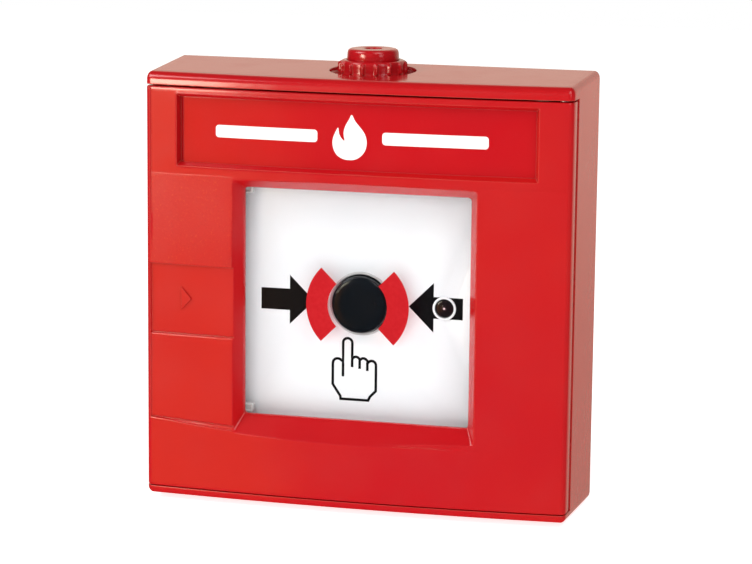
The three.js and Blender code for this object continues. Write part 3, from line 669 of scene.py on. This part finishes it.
# ---- door
def door_depth(x, z):
    """How far each point of the door's front is sunk below its smooth convex form."""
    base = -front(x)
    # the chin below the curved parting step stands proud of everything above it
    curve = CHIN_Z + 3.9 * (np.clip(-x, -70, 66.3) / 66.3) * (x < 0)
    bow = 0.95 * np.sin(np.clip((x + 66.3) / 66.3, 0, 1) * math.pi) * (x < 0)
    step_z = curve - bow + 0.25 * ease(x, 2.0, 40.0)
    fade = 1 - ease(x, 6.0, 46.0)
    depth = CHIN_STEP * ease(z, step_z - 0.12, step_z + 0.16) * fade
    # a groove that fans out from the step at the left
    fan = -41.45 - 1.30 * (x + 66.3) / 29.1
    left = 1 - ease(x, -38.2, -36.6)
    depth += 0.45 * np.exp(-(((z - fan) / 0.2) ** 2)) * left
    # three pads down the left side
    pad = 1 - ease(x, -37.4, -37.0)
    pad_low = 1 - ease(x, -38.0, -37.5)
    ramp = np.clip((z - 7.05) / 28.15, 0, 1)
    split = ease(z, PAD_SPLIT, PAD_SPLIT + 0.12)
    top_pad = split * (1 - ease(z, PAD_TOP - 0.15, PAD_TOP + 0.1))
    depth += pad * top_pad * -0.36 * (1 - ramp)
    middle_pad = ease(z, PAD_LOW + 0.05, PAD_LOW + 0.2) * (1 - split)
    depth += pad * middle_pad * 0.34
    groove = np.exp(-(((z - PAD_LOW) / 0.2) ** 2))
    depth += pad_low * groove * 0.65
    # faint sink line to the right of the window
    sink = ease(x, 39.5, 40.5) * (1 - ease(x, 65.0, 66.3)) * (1 - ease(z, 34.9, 35.2))
    depth += 0.05 * sink
    # the label's recess: sloped walls, steep at the left where a gap shows beside the insert
    away = box_distance(x, z, LABEL[0], LABEL[1], LABEL[2], 0.5)
    sides = np.minimum((x + LABEL[0]) / 0.35, LABEL[0] - x)
    inset = np.minimum(sides, LABEL[1] - np.abs(z - LABEL[2]))
    mouth = LABEL_DEPTH * (bend(inset, 0.12) - bend(inset - 1, 0.08))
    pocket = box_distance(x + 0.4, z, 55.5, 10.0, LABEL[2], 0.3)
    mouth = mouth + (INSERT + 0.3) * ease(-pocket, -0.03, 0.03)
    depth = np.maximum(depth, 0) * (1 - ease(-away, -0.4, 0.2)) + mouth
    # the window's bevel, cut back to a flat lip; its lower side runs out to the chin's step
    beyond = box_distance(x, z, OPENING, OPENING, CENTRE_Z, 1.0)
    low_edge = np.where(x < 0, step_z, CHIN_Z + 2.15 * ease(x, 2.0, 38.0))
    low_slope = (base - CHIN_STEP - LIP_FRONT) / (CENTRE_Z - OPENING - low_edge)
    u = np.maximum(np.abs(x) - OPENING, 0)
    v = np.abs(z - CENTRE_Z) - OPENING
    v = np.maximum(v, 0) * np.where(z < CENTRE_Z, low_slope / BEVEL_SLOPE, 1.0)
    mitred = (u**6 + v**6) ** (1 / 6)
    slope_y = LIP_FRONT + np.where(beyond > 0, mitred, np.maximum(beyond, -0.3)) * BEVEL_SLOPE
    here = base - depth
    lowered = here - bend(here - slope_y, 0.22)
    # the lip's own edge is rounded
    lip = 0.35
    inward = lip - np.clip(beyond, 0, lip)
    drop = np.where(beyond < lip, lip - np.sqrt(np.clip(lip**2 - inward**2, 0, None)), 0)
    lowered = np.where(beyond < 30, lowered, here) - np.where(beyond > -3, drop, lip)
    return base - lowered


def door_outside():
    """The door's outer solid: a profile swept up the door, with the front's relief pressed in."""
    rx, ry = DOOR_CORNER
    xs = lines(
        (-64.8, 64.8, 0.9), (-57.0, -54.6, 0.15), (54.6, 57.0, 0.15), (-39.4, -35.2, 0.2),
        (35.2, 39.4, 0.2), (-38.1, -37.0, 0.1), (-56.4, -55.8, 0.06),
    )
    near = [(x, front(x)) for x in xs]
    corner = []
    for i in range(1, 9):
        angle = math.pi / 2 * i / 8
        x = 64.8 + rx * math.sin(angle)
        corner.append((x, front(x) + ry * (1 - math.cos(angle))))
    right_side = [(BACK_HALF + y / EDGE_DEPTH, y) for y in (-34.6, -33.9, HINGE_Y)]
    # a short skirt hides the knuckle; it swings inside the space swept clear round the hinge
    hinge_skirt = [
        (66.5, -32.0), (66.5, -29.95), (66.45, -29.82), (66.35, -29.76), (66.2, -29.75), (64.4, -29.7),
    ]
    left_side = [(-BACK_HALF - y / EDGE_DEPTH, y) for y in (-SKIRT_REAR - 0.3, -31.5, -33.2, -34.6)]
    skirt = [(60.0, -29.6), (-60.0, -SKIRT_REAR), (-66.45, -SKIRT_REAR)]
    right = near + corner + right_side + hinge_skirt
    outline = right + skirt + left_side + [(-x, y) for x, y in corner[::-1]]
    points = np.array(outline)
    along = np.roll(points, -1, 0) - np.roll(points, 1, 0)
    inward = np.stack([-along[:, 1], along[:, 0]], 1)
    inward /= norm(inward, axis=1)[:, None]
    inward[len(right) : len(right) + len(skirt)] = 0
    zs = lines(
        (DOOR_BOTTOM + DOOR_EDGE, DOOR_TOP - DOOR_EDGE, 1.1), (-46.2, -40.9, 0.16), (-44.2, -38.9, 0.2),
        (-15.3, -14.2, 0.08), (6.7, 7.4, 0.06), (31.4, 36.0, 0.2), (34.8, 35.4, 0.08),
        (37.4, 39.3, 0.12), (58.5, 60.4, 0.12),
    )
    quarter = [math.pi / 2 * i / 5 for i in range(5)]
    turn = [(DOOR_EDGE * (1 - math.cos(a)), DOOR_EDGE * (1 - math.sin(a))) for a in quarter]
    levels = [(DOOR_BOTTOM + rise, inset) for rise, inset in turn] + [(z, 0.0) for z in zs]
    levels += [(DOOR_TOP - rise, inset) for rise, inset in turn[::-1]]
    rings = []
    fronts = len(near)
    for z, inset in levels:
        moved = points + inward * inset
        moved[:fronts, 1] += door_depth(points[:fronts, 0], np.full(fronts, z))
        rings.append([(x, y, z) for x, y in moved])
    return swept(rings)


def make_door():
    left, right = -64.5, HINGE_X - KNUCKLE
    hollow = [(x, front(x) + 2.2) for x in np.linspace(left, right, 49)]
    hollow += [(right, -20), (left, -20)]
    # the cavity leaves the window's frame and the floor of the label's recess standing
    xs = np.linspace(-59, 59, 49)
    bed = [(x, front(x) - 2) for x in xs] + [(x, front(x) + 5.4) for x in xs[::-1]]
    keep = [
        block((-43, 43), (-50, -30.2), (CENTRE_Z - 43, CENTRE_Z + 43)),
        prism_z(bed, 36.4, 62),
    ]
    # walls beside the latch, then ribs that tie the window's frame to the door's edges
    for z in (LATCH_Z - 5.75, LATCH_Z + 5.75):
        keep.append(block((-58, -46), (-50, -31.5), (z - 0.45, z + 0.45)))
    for ends in ((-66, -42), (42, 62)):
        for z in (-30, 21):
            keep.append(block(ends, (-50, -34.2), (z - 0.6, z + 0.6)))
    for x in (-20, 20):
        keep.append(block((x - 0.6, x + 0.6), (-50, -32.2), (-66, -46)))
    cavity = combine(prism_z(hollow, DOOR_BOTTOM + 1.8, DOOR_TOP - 1.8), *[(CUT, k) for k in keep])
    steps = [
        (CUT, cavity),
        (CUT, prism_y(rounded(OPENING, OPENING, 1.0, MIDDLE), -45, -30)),
        (CUT, prism_y(rounded(40.4, 40.4, 0.8, MIDDLE), -LIP_REAR, -25)),
        (CUT, rod(PIN_BORE, 56, 70, "Z", HINGE, 32)),
        (CUT, rod(PIN_BORE, -70, -58, "Z", HINGE, 32)),
        (CUT, block((-68, -63), (-34.8, -32.6), (LATCH_Z - 4, LATCH_Z + 4))),
    ]
    mesh = combine(door_outside(), *steps)
    piece("door_front_shell", mesh, "door", RED_DOOR, ["door_shell"], 28)


def relief_slab(outline, depth, thickness, gap=1.0):
    """A thin slab with an X-Z outline that lies on the convex front at a given depth."""
    build = bmesh.new()
    build.faces.new([build.verts.new((x * MM, 0, z * MM)) for x, z in outline])
    xs = [p[0] for p in outline]
    for x in np.arange(math.ceil(min(xs) / gap) * gap, max(xs), gap):
        parts = build.verts[:] + build.edges[:] + build.faces[:]
        plane = dict(plane_co=(x * MM, 0, 0), plane_no=(1, 0, 0))
        bmesh.ops.bisect_plane(build, geom=parts, dist=1e-7, **plane)
    bmesh.ops.triangulate(build, faces=build.faces[:])
    grown = bmesh.ops.extrude_face_region(build, geom=build.faces[:])
    raised = {e for e in grown["geom"] if isinstance(e, bmesh.types.BMVert)}
    for vert in build.verts:
        y = front(vert.co.x / MM) + depth - (thickness if vert in raised else 0)
        vert.co.y = y * MM
    bmesh.ops.recalc_face_normals(build, faces=build.faces[:])
    mesh = bpy.data.meshes.new("relief")
    build.to_mesh(mesh)
    build.free()
    return mesh


def make_label():
    outline = rounded(54.92, 10.1, 0.3, (0.32, LABEL[2]), 4)
    mesh = relief_slab(outline, LABEL_DEPTH + INSERT, INSERT + 0.03, 2.2)
    piece("label_insert_plate", mesh, "door", RED_LABEL, ["label_insert"])
    # a plain flame between two plain bars stands where the photo has wording
    flame = [
        (0.6, 7.0), (1.6, 5.2), (3.1, 3.4), (4.6, 1.4), (5.3, -1.0), (5.0, -3.4), (3.8, -5.4), (1.9, -6.7),
        (-0.2, -7.0), (-2.4, -6.6), (-4.2, -5.3), (-5.2, -3.2), (-5.3, -0.9), (-4.5, 1.4), (-3.6, 2.9),
        (-3.3, 1.0), (-2.5, -0.4), (-1.6, -1.0), (-1.9, 1.2), (-1.4, 3.4), (-0.3, 5.4),
    ]
    smooth = []
    count = len(flame)
    for i in range(count):
        p = [np.array(flame[(i + k) % count], float) for k in (-1, 0, 1, 2)]
        for t in (0.0, 0.25, 0.5, 0.75):
            smooth.append(tuple(0.5 * (
                2 * p[1] + (p[2] - p[0]) * t + (2 * p[0] - 5 * p[1] + 4 * p[2] - p[3]) * t**2
                + (3 * p[1] - p[0] - 3 * p[2] + p[3]) * t**3
            )))
    marks = {
        "label_flame": [(x - 1.5, LABEL[2] + z * 0.98) for x, z in smooth],
        "label_bar_left": rounded(16.2, 1.9, 1.0, (-27.8, LABEL[2]), 5),
        "label_bar_right": rounded(16.2, 1.9, 1.0, (24.8, LABEL[2]), 5),
    }
    for name, outline in marks.items():
        mesh = relief_slab(outline, LABEL_DEPTH - 0.02, 0.06)
        piece(name, mesh, "door", WHITE_INK)


def make_emboss():
    """The small raised arrow on the middle pad that points to the lock."""
    outline = soften([(-55.0, 0.3), (-55.0, -7.2), (-51.5, -3.45)], 0.35, 3, ends=True)
    mesh = relief_slab(outline, 0.345, 0.035, 0.7)
    piece("lock_arrow", mesh, "door", RED_DOOR)


def make_pane():
    low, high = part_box("glass_pane")
    half = (high.x - low.x) / 2 / MM
    outline = rounded(half, half, 0.8, MIDDLE, 4)
    mesh = prism_y(outline, low.y / MM, high.y / MM)
    pane = piece("clear_front_pane", mesh, "door", PANE, ["glass_pane"])
    bevel_edges(pane, 0.00012)
    # small clear clips in the window's corners hold the pane; the right-hand ones stay behind the lip
    for place, xs, middle_z in (
        ("top_left", (-36.8, -33.9), 30.7), ("bottom_left", (-36.8, -33.7), -38.1),
        ("top_right", (34.9, 36.8), 30.7), ("bottom_right", (34.9, 36.8), -38.1),
    ):
        half_x, middle = (xs[1] - xs[0]) / 2, (sum(xs) / 2, middle_z)
        clip = prism_y(rounded(half_x, 1.35, 0.4, middle, 4), -31.7, -29.4)
        dimple = prism_y(rounded(half_x - 0.55, 0.75, 0.3, middle, 4), -32, -31.2)
        name = f"pane_corner_clip_{place}"
        clip = combine(clip, (CUT, dimple))
        clip = piece(name, clip, "door", CLIP, [f"pane_clip_{place}"])
        bevel_edges(clip, 0.00015)


# ---- printed marks
def ribbon(path, width, closed):
    """The two sides of a line of constant width."""
    p = np.array(path, float)
    p = p[norm(p - np.roll(p, 1, 0), axis=1) > 1e-6]
    if closed:
        back, ahead = np.roll(p, 1, 0), np.roll(p, -1, 0)
    else:
        back = np.vstack([2 * p[0] - p[1], p[:-1]])
        ahead = np.vstack([p[1:], 2 * p[-1] - p[-2]])
    a, b = p - back, ahead - p
    a /= norm(a, axis=1)[:, None]
    b /= norm(b, axis=1)[:, None]
    normal_a, normal_b = (np.stack([-v[:, 1], v[:, 0]], 1) for v in (a, b))
    miter = normal_a + normal_b
    miter /= np.maximum((miter * normal_b).sum(1), 0.5)[:, None]
    return p + miter * width / 2, p - miter * width / 2


def flat_strip(left, right, closed, y, thickness):
    """A thin raised strip between two equal rows of X-Z points, its face at y."""
    points, faces = [], []
    for row in (left, right):
        for x, z in row:
            points += [(x, y, z), (x, y + thickness, z)]
    count = len(left)
    other = 2 * count
    for i in range(count if closed else count - 1):
        k = (i + 1) % count
        a, b, c, d = 2 * i, 2 * k, other + 2 * k, other + 2 * i
        faces += [[a, b, c, d], [a + 1, d + 1, c + 1, b + 1], [a, a + 1, b + 1, b], [d, c, c + 1, d + 1]]
    if not closed:
        end = 2 * (count - 1)
        faces += [[0, other, other + 1, 1], [end, end + 1, other + end + 1, other + end]]
    return solid(points, faces)


def arc(cx, cz, radius, start, end, steps=14):
    """Points on an X-Z circle between two angles in degrees."""
    angles = np.radians(np.linspace(start, end, steps + 1))
    return [(cx + radius * math.cos(a), cz + radius * math.sin(a)) for a in angles]


def joined(meshes):
    """Several closed solids as one mesh."""
    build = bmesh.new()
    for mesh in meshes:
        build.from_mesh(mesh)
        bpy.data.meshes.remove(mesh)
    whole = bpy.data.meshes.new("joined")
    build.to_mesh(whole)
    build.free()
    return whole


def make_marks():
    face = -PLATE_FRONT - 0.05
    half = [(-31.95, 3.35), (-22.8, 3.35), (-22.8, 7.7), (-15.0, 0)]
    arrow = half + [(x, -z) for x, z in half[2::-1]]
    for name, side in (("plate_arrow_left", 1), ("plate_arrow_right", -1)):
        shape = [(side * x, CENTRE_Z + z) for x, z in arrow]
        mesh = prism_y(shape, face, face + PRINT)
        if side < 0:
            mesh = combine(mesh, (CUT, rod(3.1, face - 1, face + 1, "Y", LENS)))
        piece(name, mesh, "housing", BLACK_INK)
    line = 0.82
    outline = (
        [(-5.65, -22.3), (-5.65, -16.3)]
        + arc(-4.2, -16.3, 1.45, 180, 0)
        + [(-2.75, -20.9)]
        + arc(-1.55, -21.75, 1.2, 150, 35, 8)
        + arc(0.85, -22.15, 1.25, 150, 35, 8)
        + arc(3.5, -22.9, 1.35, 140, 0, 10)
        + [(4.85, -31.0), (3.0, -32.9), (2.45, -34.1), (-6.35, -34.1)]
        + [(-6.45, -33.2), (-8.9, -29.6), (-8.9, -23.0)]
        + arc(-7.35, -22.95, 1.55, 180, 40, 10)
    )
    strokes = [(outline, True)]
    for x, top, bottom in (
        (-5.65, -22.65, -27.0), (-2.75, -21.3, -23.9), (-0.35, -21.55, -24.3), (2.1, -22.1, -24.8),
    ):
        strokes.append(([(x, top), (x, bottom)], False))
    strips = [
        flat_strip(*ribbon(path, line, closed), closed, face, PRINT) for path, closed in strokes
    ]
    piece("plate_hand_outline", joined(strips), "housing", BLACK_INK)
    for name, middle in (("pane_arc_left", 180), ("pane_arc_right", 0)):
        outer, inner = (arc(*MIDDLE, r, middle - 45, middle + 45, 40) for r in (16.2, 9.35))
        mesh = flat_strip(outer, inner, False, -PANE_FRONT - 0.055, 0.05)
        piece(name, mesh, "door", RED_INK)


# ---- turned pieces
def make_button():
    cap = [
        (0, -31.12), (5.5, -31.15), (7.5, -31.2), (8.35, -31.02), (8.72, -30.6), (8.8, -30.1), (8.8, -26.1),
        (10.2, -26.1), (10.2, -25), (7.4, -25), (7.4, -29.4), (3.7, -29.4), (3.7, -27), (2.8, -27),
        (2.8, -29.4), (0, -29.4),
    ]
    mesh = lathe(cap[:6] + soften(cap[5:], 0.12, 2)[1:], "Y", MIDDLE, 128)
    piece("button_black_cap", mesh, "button", BLACK, ["button_cap"], 40)
    stem = [
        (0, -29.2), (2.5, -29.2), (2.5, -22.4), (1.9, -22.2), (1.9, -21.2), (2.5, -21.0), (2.5, -18.7),
        (2.17, -17.45), (1.25, -16.53), (0, -16.2),
    ]
    mesh = lathe(soften(stem, 0.15, 2), "Y", MIDDLE, 64)
    piece("button_stem", mesh, "button", WHITE, ["button_plunger"], 40)
    mesh = ring(9.15, 9.9, -28.45, -28.05, 0.14, "Y", MIDDLE, 128)
    piece("button_bezel", mesh, "housing", GREY, ["button_ring"], 40)
    mesh = ring(2.95, 3.65, -28.45, -28.05, 0.12, "Y", LENS, 96)
    piece("indicator_bezel", mesh, "housing", WHITE, ["led_ring"], 40)
    lens = [
        (0, -28.55), (0.55, -28.5), (0.75, -28.2), (1.3, -28.16), (2.3, -28.12), (2.75, -27.95),
        (2.9, -27.6), (2.9, -8.6), (0, -8.6),
    ]
    mesh = lathe(soften(lens, 0.15, 2), "Y", LENS, 64)
    piece("indicator_lens", mesh, "housing", LENS_BLACK, ["led_light_guide"], 40)


def make_gland():
    ribs = 15

    def crest(angle, radius, height):
        if radius < 9.3 or not 66.4 < height < 70.1:
            return 0.0
        phase = (angle * ribs / TURN - 0.1 + 0.5) % 1.0 - 0.5
        bump = max(0.0, 1 - (phase / 0.15) ** 2) ** 0.7
        fade = min(1.0, (70.1 - height) / 0.9, (height - 66.4) / 0.2)
        return 0.86 * bump * fade

    collar = [
        (5.6, 56.5), (7.7, 56.5), (8.0, 56.8), (8.0, 66.35), (9.84, 66.36), (9.86, 65.72),
        (10.05, 65.7), (10.12, 65.9), (10.05, 66.3), *[(9.9, z) for z in (66.6, 67.2, 67.9, 68.5, 69.2)],
        (9.85, 69.6), (9.7, 69.9), (9.4, 70.15), (8.9, 70.3), (8.3, 70.3), (8.1, 70.2), (8.08, 70.0),
        (8.08, 69.45), (6.3, 69.4), (6.3, 70.9), (5.6, 70.9),
    ]
    mesh = lathe(collar, "Z", GLAND, 360, closed=True, wave=crest)
    piece("gland_ribbed_body", mesh, "housing", RED, ["gland_body"], 50)
    cap = [
        (6.6, 69.6), (7.9, 69.6), (8.0, 69.75), (7.93, 71.6), (7.88, 72.4), (7.75, 72.95), (7.5, 73.35),
        (7.1, 73.58), (6.6, 73.68), (5.9, 73.7), (3.0, 73.7), (2.75, 73.62), (2.6, 73.4),
        (2.6, 72.2), (6.6, 72.2),
    ]
    mesh = lathe(cap, "Z", GLAND, 160, closed=True)
    piece("gland_dome_cap", mesh, "housing", RED, ["gland_cap"], 40)
    mesh = ring(2.5, 5.3, 64, 71.9, 0.2, "Z", GLAND, 64)
    piece("gland_rubber_seal", mesh, "housing", RUBBER, ["gland_seal"], 40)
    mesh = ring(8.3, 9.75, 65.6, 66.25, 0.15, "Z", GLAND, 96)
    piece("gland_flat_gasket", mesh, "housing", RUBBER, ["gland_gasket"], 40)


# ---- small hardware
def screw(name, node, radius, shank, length):
    """A cross-recessed pan-head screw in the place of a plain one."""
    low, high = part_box(node)
    x, z = (low.x + high.x) / 2 / MM, (low.z + high.z) / 2 / MM
    top = low.y / MM
    height = radius * 0.55
    profile = [(0, top)]
    for a in np.linspace(0, math.pi / 2, 9)[1:]:
        profile.append((radius * math.sin(a), top + height * (1 - math.cos(a))))
    profile += [(radius, top + height), (shank, top + height)]
    turns = max(2, int(length / 0.5))
    for i in range(turns):
        y = top + height + length * (i + 0.5) / turns
        profile += [(shank, y - 0.08), (shank * 0.86, y), (shank, y + 0.08)]
    end = top + height + length
    profile += [(shank, end), (0, min(end + shank * 0.5, high.y / MM))]
    mesh = lathe(profile, "Y", (x, z), 48)
    slot, wide = radius * 0.6, radius * 0.17
    ys = (top - 1, top + height * 0.6)
    cross = combine(
        block((x - slot, x + slot), ys, (z - wide, z + wide)),
        (ADD, block((x - wide, x + wide), ys, (z - slot, z + slot))),
    )
    mesh = combine(mesh, (CUT, cross))
    piece(name, mesh, "housing", STEEL, [node], 40)


def make_screws():
    for i in range(1, 5):
        screw(f"carrier_cross_screw_{i}", f"carrier_screw_{i}", 2.6, 1.5, 19.0)
        screw(f"board_cross_screw_{i}", f"board_screw_{i}", 2.2, 1.0, 2.8)
    for i in range(1, 7):
        screw(f"terminal_cross_screw_{i}", f"terminal_screw_{i}", 1.9, 1.1, 0.65)


def smooth_group():
    """Shades a node smooth except at edges over a set angle."""
    group = bpy.data.node_groups.new("smooth_by_angle", "GeometryNodeTree")
    for way in ("INPUT", "OUTPUT"):
        group.interface.new_socket("Geometry", in_out=way, socket_type="NodeSocketGeometry")
    new = group.nodes.new
    start, end = new("NodeGroupInput"), new("NodeGroupOutput")
    angle, below = new("GeometryNodeInputMeshEdgeAngle"), new("FunctionNodeCompare")
    below.data_type, below.operation = "FLOAT", "LESS_THAN"
    below.inputs[1].default_value = math.radians(34)
    faces, edges = new("GeometryNodeSetShadeSmooth"), new("GeometryNodeSetShadeSmooth")
    faces.domain, edges.domain = "FACE", "EDGE"
    for source, target in (
        (start.outputs[0], faces.inputs[0]), (faces.outputs[0], edges.inputs[0]),
        (angle.outputs[0], below.inputs[0]), (below.outputs[0], edges.inputs["Shade Smooth"]),
        (edges.outputs[0], end.inputs[0]),
    ):
        group.links.new(source, target)
    return group


def dress(looks):
    """Gives each CAD node that stays its material and softened edges."""
    group = smooth_group()
    for material, names in looks:
        for name in names:
            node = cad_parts[name]
            node.data.materials.clear()
            node.data.materials.append(material)
            node.modifiers.new("weld", "WELD").merge_threshold = 1e-6
            low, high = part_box(name)
            bevel_edges(node, min(0.0002, 0.12 * min(high - low)), 40)
            node.modifiers.new("shade", "NODES").node_group = group


make_housing()
make_door()
make_label()
make_emboss()
make_pane()
make_marks()
make_button()
make_gland()
make_screws()
dress([
    (WHITE, ["face_plate", "guide_bush", "microswitch_plunger", "led_chip"]),
    (GREY, ["carrier_frame", "latch_bar"]),
    (DARK, ["gland_nut", "latch_cover", "line_choke", "capacitor", "controller_chip", "microswitch_body"]),
    (BLUE, ["reset_slider", "terminal_block"]),
    (BOARD, ["circuit_board"]),
    (STEEL, ["latch_keeper", "hinge_pin_top", "hinge_pin_bottom", "microswitch_lever"]),
    (SPRING_STEEL, ["button_spring", "reset_spring", "latch_spring"]),
    (SPRING_STEEL, ["pane_retainer_left", "pane_retainer_right"]),
])


# ---- stage, light and camera
def make_floor():
    level = cad_low.z - FLOOR_GAP
    r = FLOOR_REACH
    corners = [(-r, -r, level), (r, -r, level), (r, r, level), (-r, r, level)]
    mesh = bpy.data.meshes.new("studio_floor")
    mesh.from_pydata(corners, [], [(0, 1, 2, 3)])
    t = Tree("studio_floor")
    tone = t.mix(t.noise(3.0, 2.0), (0.80, 0.80, 0.80), (0.83, 0.83, 0.83))
    glow = dict(Emission_Color=(1, 1, 1, 1), Emission_Strength=FLOOR_GLOW)
    mesh.materials.append(t.finish(t.principled(tone, 0.9, **glow)))
    floor = show("studio_floor", mesh)
    floor.visible_glossy = False


def make_world():
    """A warm room behind the object that is dark on the side the front faces and dimmer low down."""
    world = bpy.data.worlds.new("studio")
    bpy.context.scene.world = world
    t = Tree("studio", world)
    toward = t.places["Generated"]
    _, depth, height = t.add("SeparateXYZ", Vector=toward).outputs
    soft = dict(curve="SMOOTHSTEP")
    room = t.mix(t.span(depth, 0.45, 0.92, **soft), (0.09, 0.09, 0.095), (0.86, 0.75, 0.61))
    # a low orange glow to the front left
    patch = t.span(t.dot(toward, (-0.50, -0.84, -0.21)), 0.962, 0.998, **soft)
    room = t.mix(patch, room, (1.6, 0.60, 0.05), "ADD")
    level = t.times(
        t.span(height, -0.23, -0.08, 0.62, **soft), t.span(height, -0.65, -0.30, 0.25, **soft),
    )
    lit = t.add("Background", Color=room, Strength=level).outputs[0]
    white = t.add("Background", Color=(1, 1, 1)).outputs[0]
    camera_ray = t.add("LightPath").outputs["Is Camera Ray"]
    t.finish(t.fill("MixShader", {}, camera_ray, lit, white), "OutputWorld")


def toward_camera(azimuth, elevation):
    """The direction of a bearing in radians, seen from the object."""
    level = math.cos(elevation)
    return Vector((math.sin(azimuth) * level, -math.cos(azimuth) * level, math.sin(elevation)))


def make_light(name, bearing, distance, size, power, colour=(1, 1, 1), diffuse=True, glossy=True):
    """An area light at a bearing seen from the object, facing its window."""
    target = Vector((0, -0.03, 0))
    away = toward_camera(*(math.radians(v) for v in bearing))
    data = bpy.data.lights.new(name, "AREA")
    data.shape, data.size, data.size_y = "RECTANGLE", *size
    data.energy, data.color = power, colour
    lamp = show(name, data)
    lamp.location = target + away * distance
    lamp.rotation_mode = "QUATERNION"
    lamp.rotation_quaternion = away.to_track_quat("Z", "Y")
    lamp.visible_diffuse, lamp.visible_glossy = diffuse, glossy


def make_camera():
    azimuth, elevation, roll = (math.radians(v) for v in CAMERA_TURN)
    back = toward_camera(azimuth, elevation)
    right = (-back).cross(Vector((0, 0, 1))).normalized()
    up = right.cross(-back)
    side = math.cos(roll) * right + math.sin(roll) * up
    top = math.cos(roll) * up - math.sin(roll) * right
    turn = Matrix((side, top, back)).transposed().to_4x4()
    data = bpy.data.cameras.new("camera")
    data.lens, data.sensor_width = CAMERA_LENS, CAMERA_SENSOR
    data.clip_start, data.clip_end = 0.02, 40.0
    camera = show("camera", data)
    camera.matrix_world = Matrix.Translation(Vector(CAMERA_AT) * MM) @ turn
    bpy.context.scene.camera = camera


make_floor()
make_world()
make_light("key_left", (-33, 7.5), 1.7, (0.48, 0.42), 13.0, (1.0, 0.90, 0.70), diffuse=False)
make_light("fill_right", (52, 14), 1.8, (0.45, 0.45), 2.0)
make_light("high_left", (-60, 42), 1.8, (1.0, 0.9), 18.0)
make_light("high_right", (42, 48), 1.8, (1.0, 0.9), 10.0)
make_light("soft_front", (-8, 24), 1.8, (1.2, 1.0), 10.5, glossy=False)
make_camera()
bpy.context.scene.view_settings.view_transform = "Standard"
